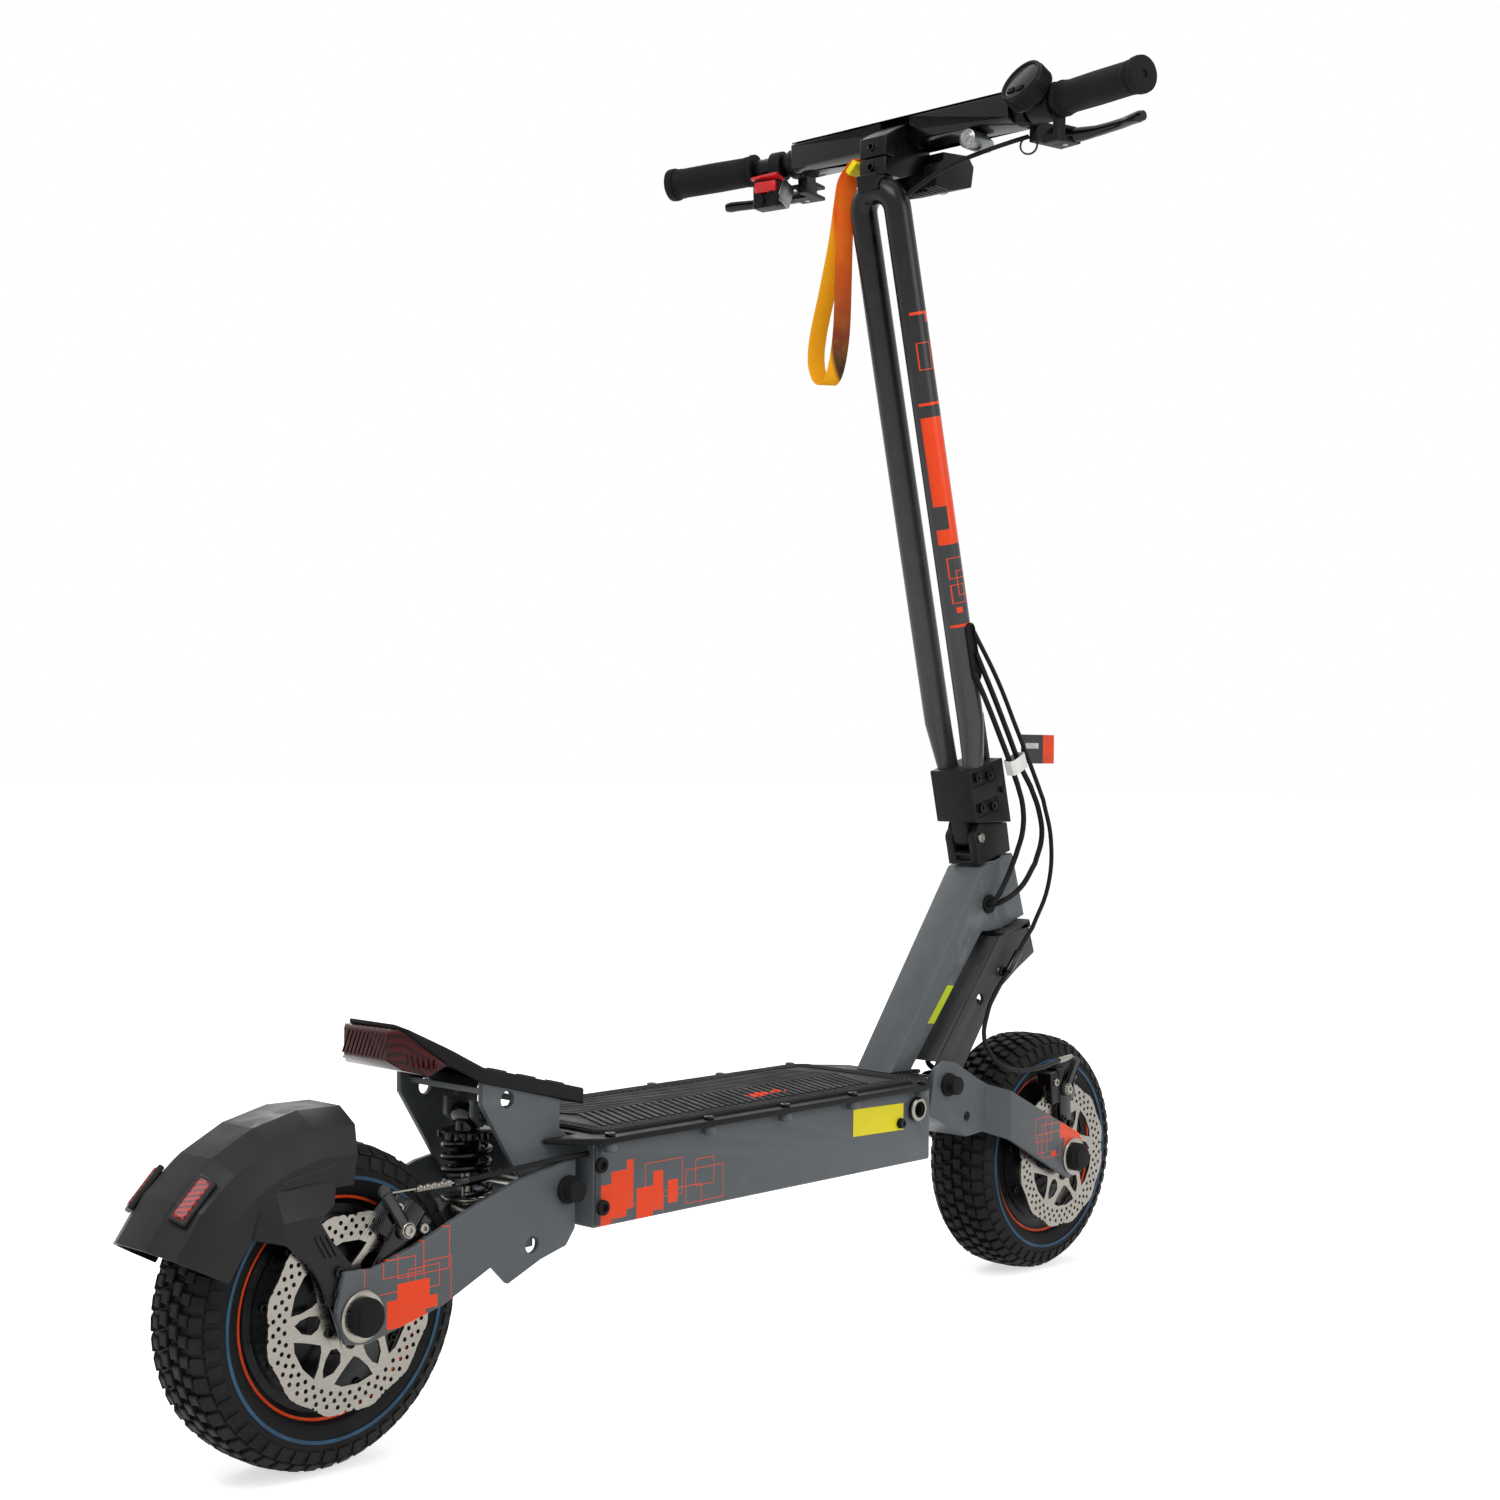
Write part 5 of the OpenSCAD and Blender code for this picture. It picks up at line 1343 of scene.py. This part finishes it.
def hanging_cable(name, places, radius, last, start, end, fittings=()):
    """A cable in three lengths: on the stem, bending to the fork, and bending to its last body."""
    first, second = 4, 7
    hose, replaced = "black_plastic", ("control_cables",)
    upper = painted(tube(places[:first + 1], radius), hose)
    finished(upper, name + "_upper", "stem", replaced)
    centre = painted(tube(places[first:second + 1], radius), hose)
    blended(centre, name + "_middle", "stem", "fork", places[first], places[second], replaced)
    lower = joined(painted(tube(places[second:], radius), hose), *fittings)
    blended(lower, name + "_lower", "fork", last, start, end, replaced)


def build_cables(settings):
    hose = "black_plastic"
    for name, route in (("shift_cable", CABLE_A), ("motor_cable", CABLE_B)):
        places = routed(route)
        hanging_cable(name, places, 2.9, "chassis", places[7], places[10])
    places = routed(CABLE_C)
    joint = sleeve(places[8], places[9], 4.2)
    ferrule = painted(bevelled(barrel(places[17], places[18], 3.2, 20), 0.5), "bright_steel")
    hanging_cable("brake_hose", places[:16], 2.4, "front_swing", places[11], at(815, -54, 233), (joint,))
    tail = joined(painted(tube(places[15:], 2.4), hose), ferrule)
    blended(tail, "brake_hose_tail", "front_swing", "front_brake_arm", places[15], places[17],
            ("control_cables",))
    places = routed(CABLE_BAR)
    bar_hose = painted(tube(places, 2.4), hose)
    ring = lathe([(7.6, -1.3), (9.4, -1.3), (9.4, 1.3), (7.6, 1.3), (7.6, -1.3)],
                 places[0] + mm(0, 0, -9), Vector((1, 0.4, 0)).normalized(), 32)
    bar_hose = joined(bar_hose, painted(bevelled(ring, 0.5), "gloss_black"))
    finished(bar_hose, "bar_hose", "stem", ("control_cables",))
    places = routed(REAR_HOSE)
    rear = joined(painted(tube(places, 2.4), hose), sleeve(places[4], places[5], 3.0))
    blended(rear, "rear_hose", "chassis", "rear_swing", places[0], places[3], ("rear_cable",))
    wire = painted(tube(routed(REAR_WIRE), 0.9), "bright_steel")
    turns, steps, radius, pitch = 22, 8, 2.3, 1.6
    coil = []
    for index in range(steps * turns):
        angle = TURN * index / steps
        x = 90 - index * pitch / steps
        coil.append(at(x, -63.1 + radius * math.cos(angle), 216.2 + radius * math.sin(angle)))
    boot = painted(tube(coil, 0.55, 1, smooth=1), "bright_steel")
    blended(joined(wire, boot), "rear_wire_boot", "rear_swing", "rear_brake_arm", *routed(REAR_WIRE)[::2],
            ("rear_cable",))


def smooth_route(points, steps=6):
    """Points of a smooth curve through the given ones."""
    made = []
    ends = [points[0]] + points + [points[-1]]
    for a, b, c, d in zip(ends, ends[1:], ends[2:], ends[3:]):
        for step in range(steps):
            t = step / steps
            made.append(0.5 * (2 * b + (c - a) * t + (2 * a - 5 * b + 4 * c - d) * t * t
                               + (3 * b - a - 3 * c + d) * t * t * t))
    return made + [points[-1]]


def build_soft(settings):
    """Lanyard, the tape round the cables and the card that hangs on it."""
    top = ARCH_TOP + mm(9, 0, 0)
    loop = [(17, 31), (30, 20), (37, 2), (40, -40), (41, -90), (43, -140), (50, -176), (60, -190), (71, -184),
            (77, -164), (74, -136), (62, -92), (50, -44), (43, -4), (38, 18), (26, 31), (17, 36)]
    places = smooth_route([top + mm(0, y, z) for y, z in loop])
    strap = traced(places)
    slant = Vector((-0.8, 0.6, 0)) * settings.strap_width
    extrude(slant)
    modified(settle(strap), "SOLIDIFY", thickness=1.2 * MM, offset=0)
    strap = painted(bevelled(strap, 0.3), "strap_weave")
    buckle = bevelled(block(top + mm(-8, 29, 27), (19, 15, 7), -0.8, "X"), 1.2)
    strap = joined(strap, painted(buckle, "yellow_label"))
    stands_for(strap, "hang_tags", "lanyard", 40)
    band_turn = math.radians(24)
    corner = at(860, -56, 540)
    forward, upward = pitched(band_turn), pitched(band_turn + TURN / 4)
    outline = [(0, 3), (3, 0), (23, 0), (26, 3), (26, 11), (23, 14), (3, 14), (0, 11), (0, 3)]
    tape = traced([corner + forward * x * MM + mm(0, y, 0) for x, y in outline])
    extrude(upward * 16 * MM)
    tape = modified(tidy_normals(tape), "SOLIDIFY", thickness=0.8 * MM, offset=-1)
    painted(tape, "white_band")
    corners = (879, 553), (939, 553), (939, 584), (879, 584)
    card = slab([at(x, -49, z) for x, z in corners], mm(0, 1.2, 0))
    card = painted(bevelled(card, 0.3, 1), "card")
    finished(joined(tape, card), "tape_and_card", BODY_OF["control_cables"])


# ---- Hidden parts, stage and camera ----

FLOOR_LIFT = 0.62
ROOM_STRENGTH = 0.42
HIDDEN_NODES = ("head_bearings", "battery_pack", "motor_controller")


def build_inside(settings):
    """Parts inside the deck and head: kept as they are, with their materials."""
    for node in HIDDEN_NODES:
        solid = frame["nodes"][node]
        painted(solid, SLOT_OF[node])


def make_floor():
    clear()
    bpy.ops.mesh.primitive_plane_add(size=60, location=(0, 0, -0.2 * MM))
    floor = bpy.context.active_object
    floor.name = "floor"
    material, tree, shader, vector = new_material("Pale floor")
    shade = spread(tree, noise(tree, vector, 3.0), 0.0, 1.0, 0.85, 0.9)
    feed(tree, shader, {"Base Color": shade, "Roughness": 0.9})
    lift = times(tree, seen_ray(tree), FLOOR_LIFT)
    lift = add_node(tree, "ShaderNodeEmission", {"Strength": lift})
    both = add_node(tree, "ShaderNodeAddShader", {0: shader.outputs[0], 1: lift.outputs[0]})
    tree.links.new(both.outputs[0], tree.nodes["Material Output"].inputs["Surface"])
    floor.data.materials.append(material)


def seen_ray(tree):
    """One where the backdrop is seen directly, in a reflection or through glass."""
    path = tree.nodes.new("ShaderNodeLightPath").outputs
    shown = math_node(tree, "MAXIMUM", path["Is Camera Ray"], path["Is Transmission Ray"])
    return math_node(tree, "MAXIMUM", shown, path["Is Glossy Ray"])


def make_world():
    world = bpy.data.worlds.new("Studio")
    world.use_nodes = True
    bpy.context.scene.world = world
    tree = world.node_tree
    tree.nodes.clear()
    output = tree.nodes.new("ShaderNodeOutputWorld")
    room, white = (add_node(tree, "ShaderNodeBackground", {"Color": (1.0, 1.0, 1.0, 1.0), "Strength": power})
                   for power in (ROOM_STRENGTH, 1.0))
    mix = add_node(tree, "ShaderNodeMixShader", {0: seen_ray(tree), 1: room.outputs[0], 2: white.outputs[0]})
    tree.links.new(mix.outputs[0], output.inputs["Surface"])


def soft_box(name, place, target, size, power):
    lamp = bpy.data.lights.new(name, "AREA")
    lamp.shape = "RECTANGLE"
    lamp.size, lamp.size_y = size
    lamp.energy = power
    holder = bpy.data.objects.new(name, lamp)
    bpy.context.scene.collection.objects.link(holder)
    holder.location = place
    holder.rotation_euler = (Vector(target) - Vector(place)).to_track_quat("-Z", "Y").to_euler()


CAMERA_PLACE = Vector((-1.49491, -1.4198, 0.5603))
CAMERA_YAW, CAMERA_PITCH, CAMERA_ROLL = 0.7453, 0.0018, 0.0098


def make_camera(settings):
    data = bpy.data.cameras.new("Camera")
    data.lens = settings.focal_length
    data.sensor_width = 36
    camera = bpy.data.objects.new("Camera", data)
    bpy.context.scene.collection.objects.link(camera)
    bpy.context.scene.camera = camera
    flat = math.cos(CAMERA_PITCH)
    ahead = Vector((flat * math.cos(CAMERA_YAW), flat * math.sin(CAMERA_YAW), math.sin(CAMERA_PITCH)))
    right = ahead.cross(UP).normalized()
    up = right.cross(ahead)
    turn = Matrix.Rotation(CAMERA_ROLL, 3, ahead).inverted()
    right, up = turn @ right, turn @ up
    axes = Matrix((right, up, -ahead)).transposed()
    camera.matrix_world = Matrix.Translation(CAMERA_PLACE) @ axes.to_4x4()


def build_stage(settings):
    make_floor()
    make_world()
    soft_box("Key light", (-1.6, -0.6, 2.6), (0, 0, 0.5), (1.6, 1.2), 34)
    soft_box("Side light", (0.6, -2.6, 1.5), (0, 0, 0.5), (1.4, 1.6), 22)
    soft_box("Rim light", (1.2, 2.2, 2.0), (0, 0, 0.6), (1.6, 1.2), 28)
    make_camera(settings)
    scene = bpy.context.scene
    scene.view_settings.view_transform = "Standard"


# ---- Add-on layout ----

class ScooterSettings(bpy.types.PropertyGroup):
    """Sizes and colours that a user would change."""

    rib_pitch: bpy.props.FloatProperty(
        name="Rib pitch", description="Distance between the chevron ribs of the deck mat",
        default=0.0092, min=0.006, max=0.03, unit="LENGTH")
    tread_blocks: bpy.props.IntProperty(
        name="Tread blocks", description="Number of tread blocks in each row round a tyre",
        default=50, min=24, max=80)
    strap_width: bpy.props.FloatProperty(
        name="Strap width", description="Width of the lanyard's woven strap",
        default=0.018, min=0.008, max=0.03, unit="LENGTH")
    paint_colour: bpy.props.FloatVectorProperty(
        name="Paint", description="Colour of the frame's grey paint",
        default=linear("#53585b")[:3], min=0, max=1, subtype="COLOR")
    artwork_colour: bpy.props.FloatVectorProperty(
        name="Artwork", description="Colour of the blocks and outlines laid over the paint",
        default=linear("#f0440e")[:3], min=0, max=1, subtype="COLOR")
    focal_length: bpy.props.FloatProperty(
        name="Focal length", description="Lens of the camera, in millimetres",
        default=52.58, min=20, max=200, unit="CAMERA")


def build_operator(name, label_text, build, text):
    """An operator class that runs one builder with the scene's settings."""

    def execute(self, context):
        build(context.scene.scooter_settings)
        return {"FINISHED"}

    return type("SCOOTER_OT_" + name, (bpy.types.Operator,), {
        "__doc__": text, "bl_idname": "scooter." + name, "bl_label": label_text, "execute": execute,
    })


def build_materials(settings):
    PALETTE["artwork"] = tuple(settings.artwork_colour) + (1.0,)
    MATERIALS.update(make_materials(settings))


STEPS = [
    ("stage", "Stage and camera", build_stage, "Adds the floor, the lights and the camera"),
    ("materials", "Materials", build_materials, "Makes one material for each finish"),
    ("cables", "Cables", build_cables, "Builds the cables, hoses and their fittings"),
    ("inside", "Inside parts", build_inside, "Finishes the battery, controller and bearings"),
    ("wheels", "Wheels and brakes", build_wheels, "Builds both wheels with tyres, hubs, rotors and calipers"),
    ("deck", "Deck", build_deck, "Builds the deck tub, lid, ribbed mat, neck and side stand"),
    ("tail", "Kick tail", build_tail, "Builds the kick plate, its bracket and the tail lamp"),
    ("suspension", "Suspension", build_suspension, "Builds the swing arms, fender and shocks"),
    ("stem", "Stem and fork", build_stem, "Builds the fork bracket, fold blocks and stem tubes"),
    ("cockpit", "Cockpit", build_cockpit, "Builds the bar, grips, levers, lamps and display"),
    ("soft", "Strap and tags", build_soft, "Builds the lanyard, the tape and the card"),
]
OPERATORS = [build_operator(*step) for step in STEPS]


class SCOOTER_PT_panel(bpy.types.Panel):
    """Lists the steps that build the scooter"""

    bl_label = "Electric Kick Scooter"
    bl_idname = "SCOOTER_PT_panel"
    bl_space_type = "VIEW_3D"
    bl_region_type = "UI"
    bl_category = "Scooter"

    def draw(self, context):
        settings = context.scene.scooter_settings
        for name in ScooterSettings.__annotations__:
            self.layout.prop(settings, name)
        for operator in OPERATORS:
            self.layout.operator(operator.bl_idname)


CLASSES = [ScooterSettings, *OPERATORS, SCOOTER_PT_panel]


def register():
    for item in CLASSES:
        bpy.utils.register_class(item)
    bpy.types.Scene.scooter_settings = bpy.props.PointerProperty(type=ScooterSettings)


def unregister():
    del bpy.types.Scene.scooter_settings
    for item in reversed(CLASSES):
        bpy.utils.unregister_class(item)


def main():
    register()
    for name, _, _, _ in STEPS:
        getattr(bpy.ops.scooter, name)()
    clear()


if __name__ == "__main__":
    main()
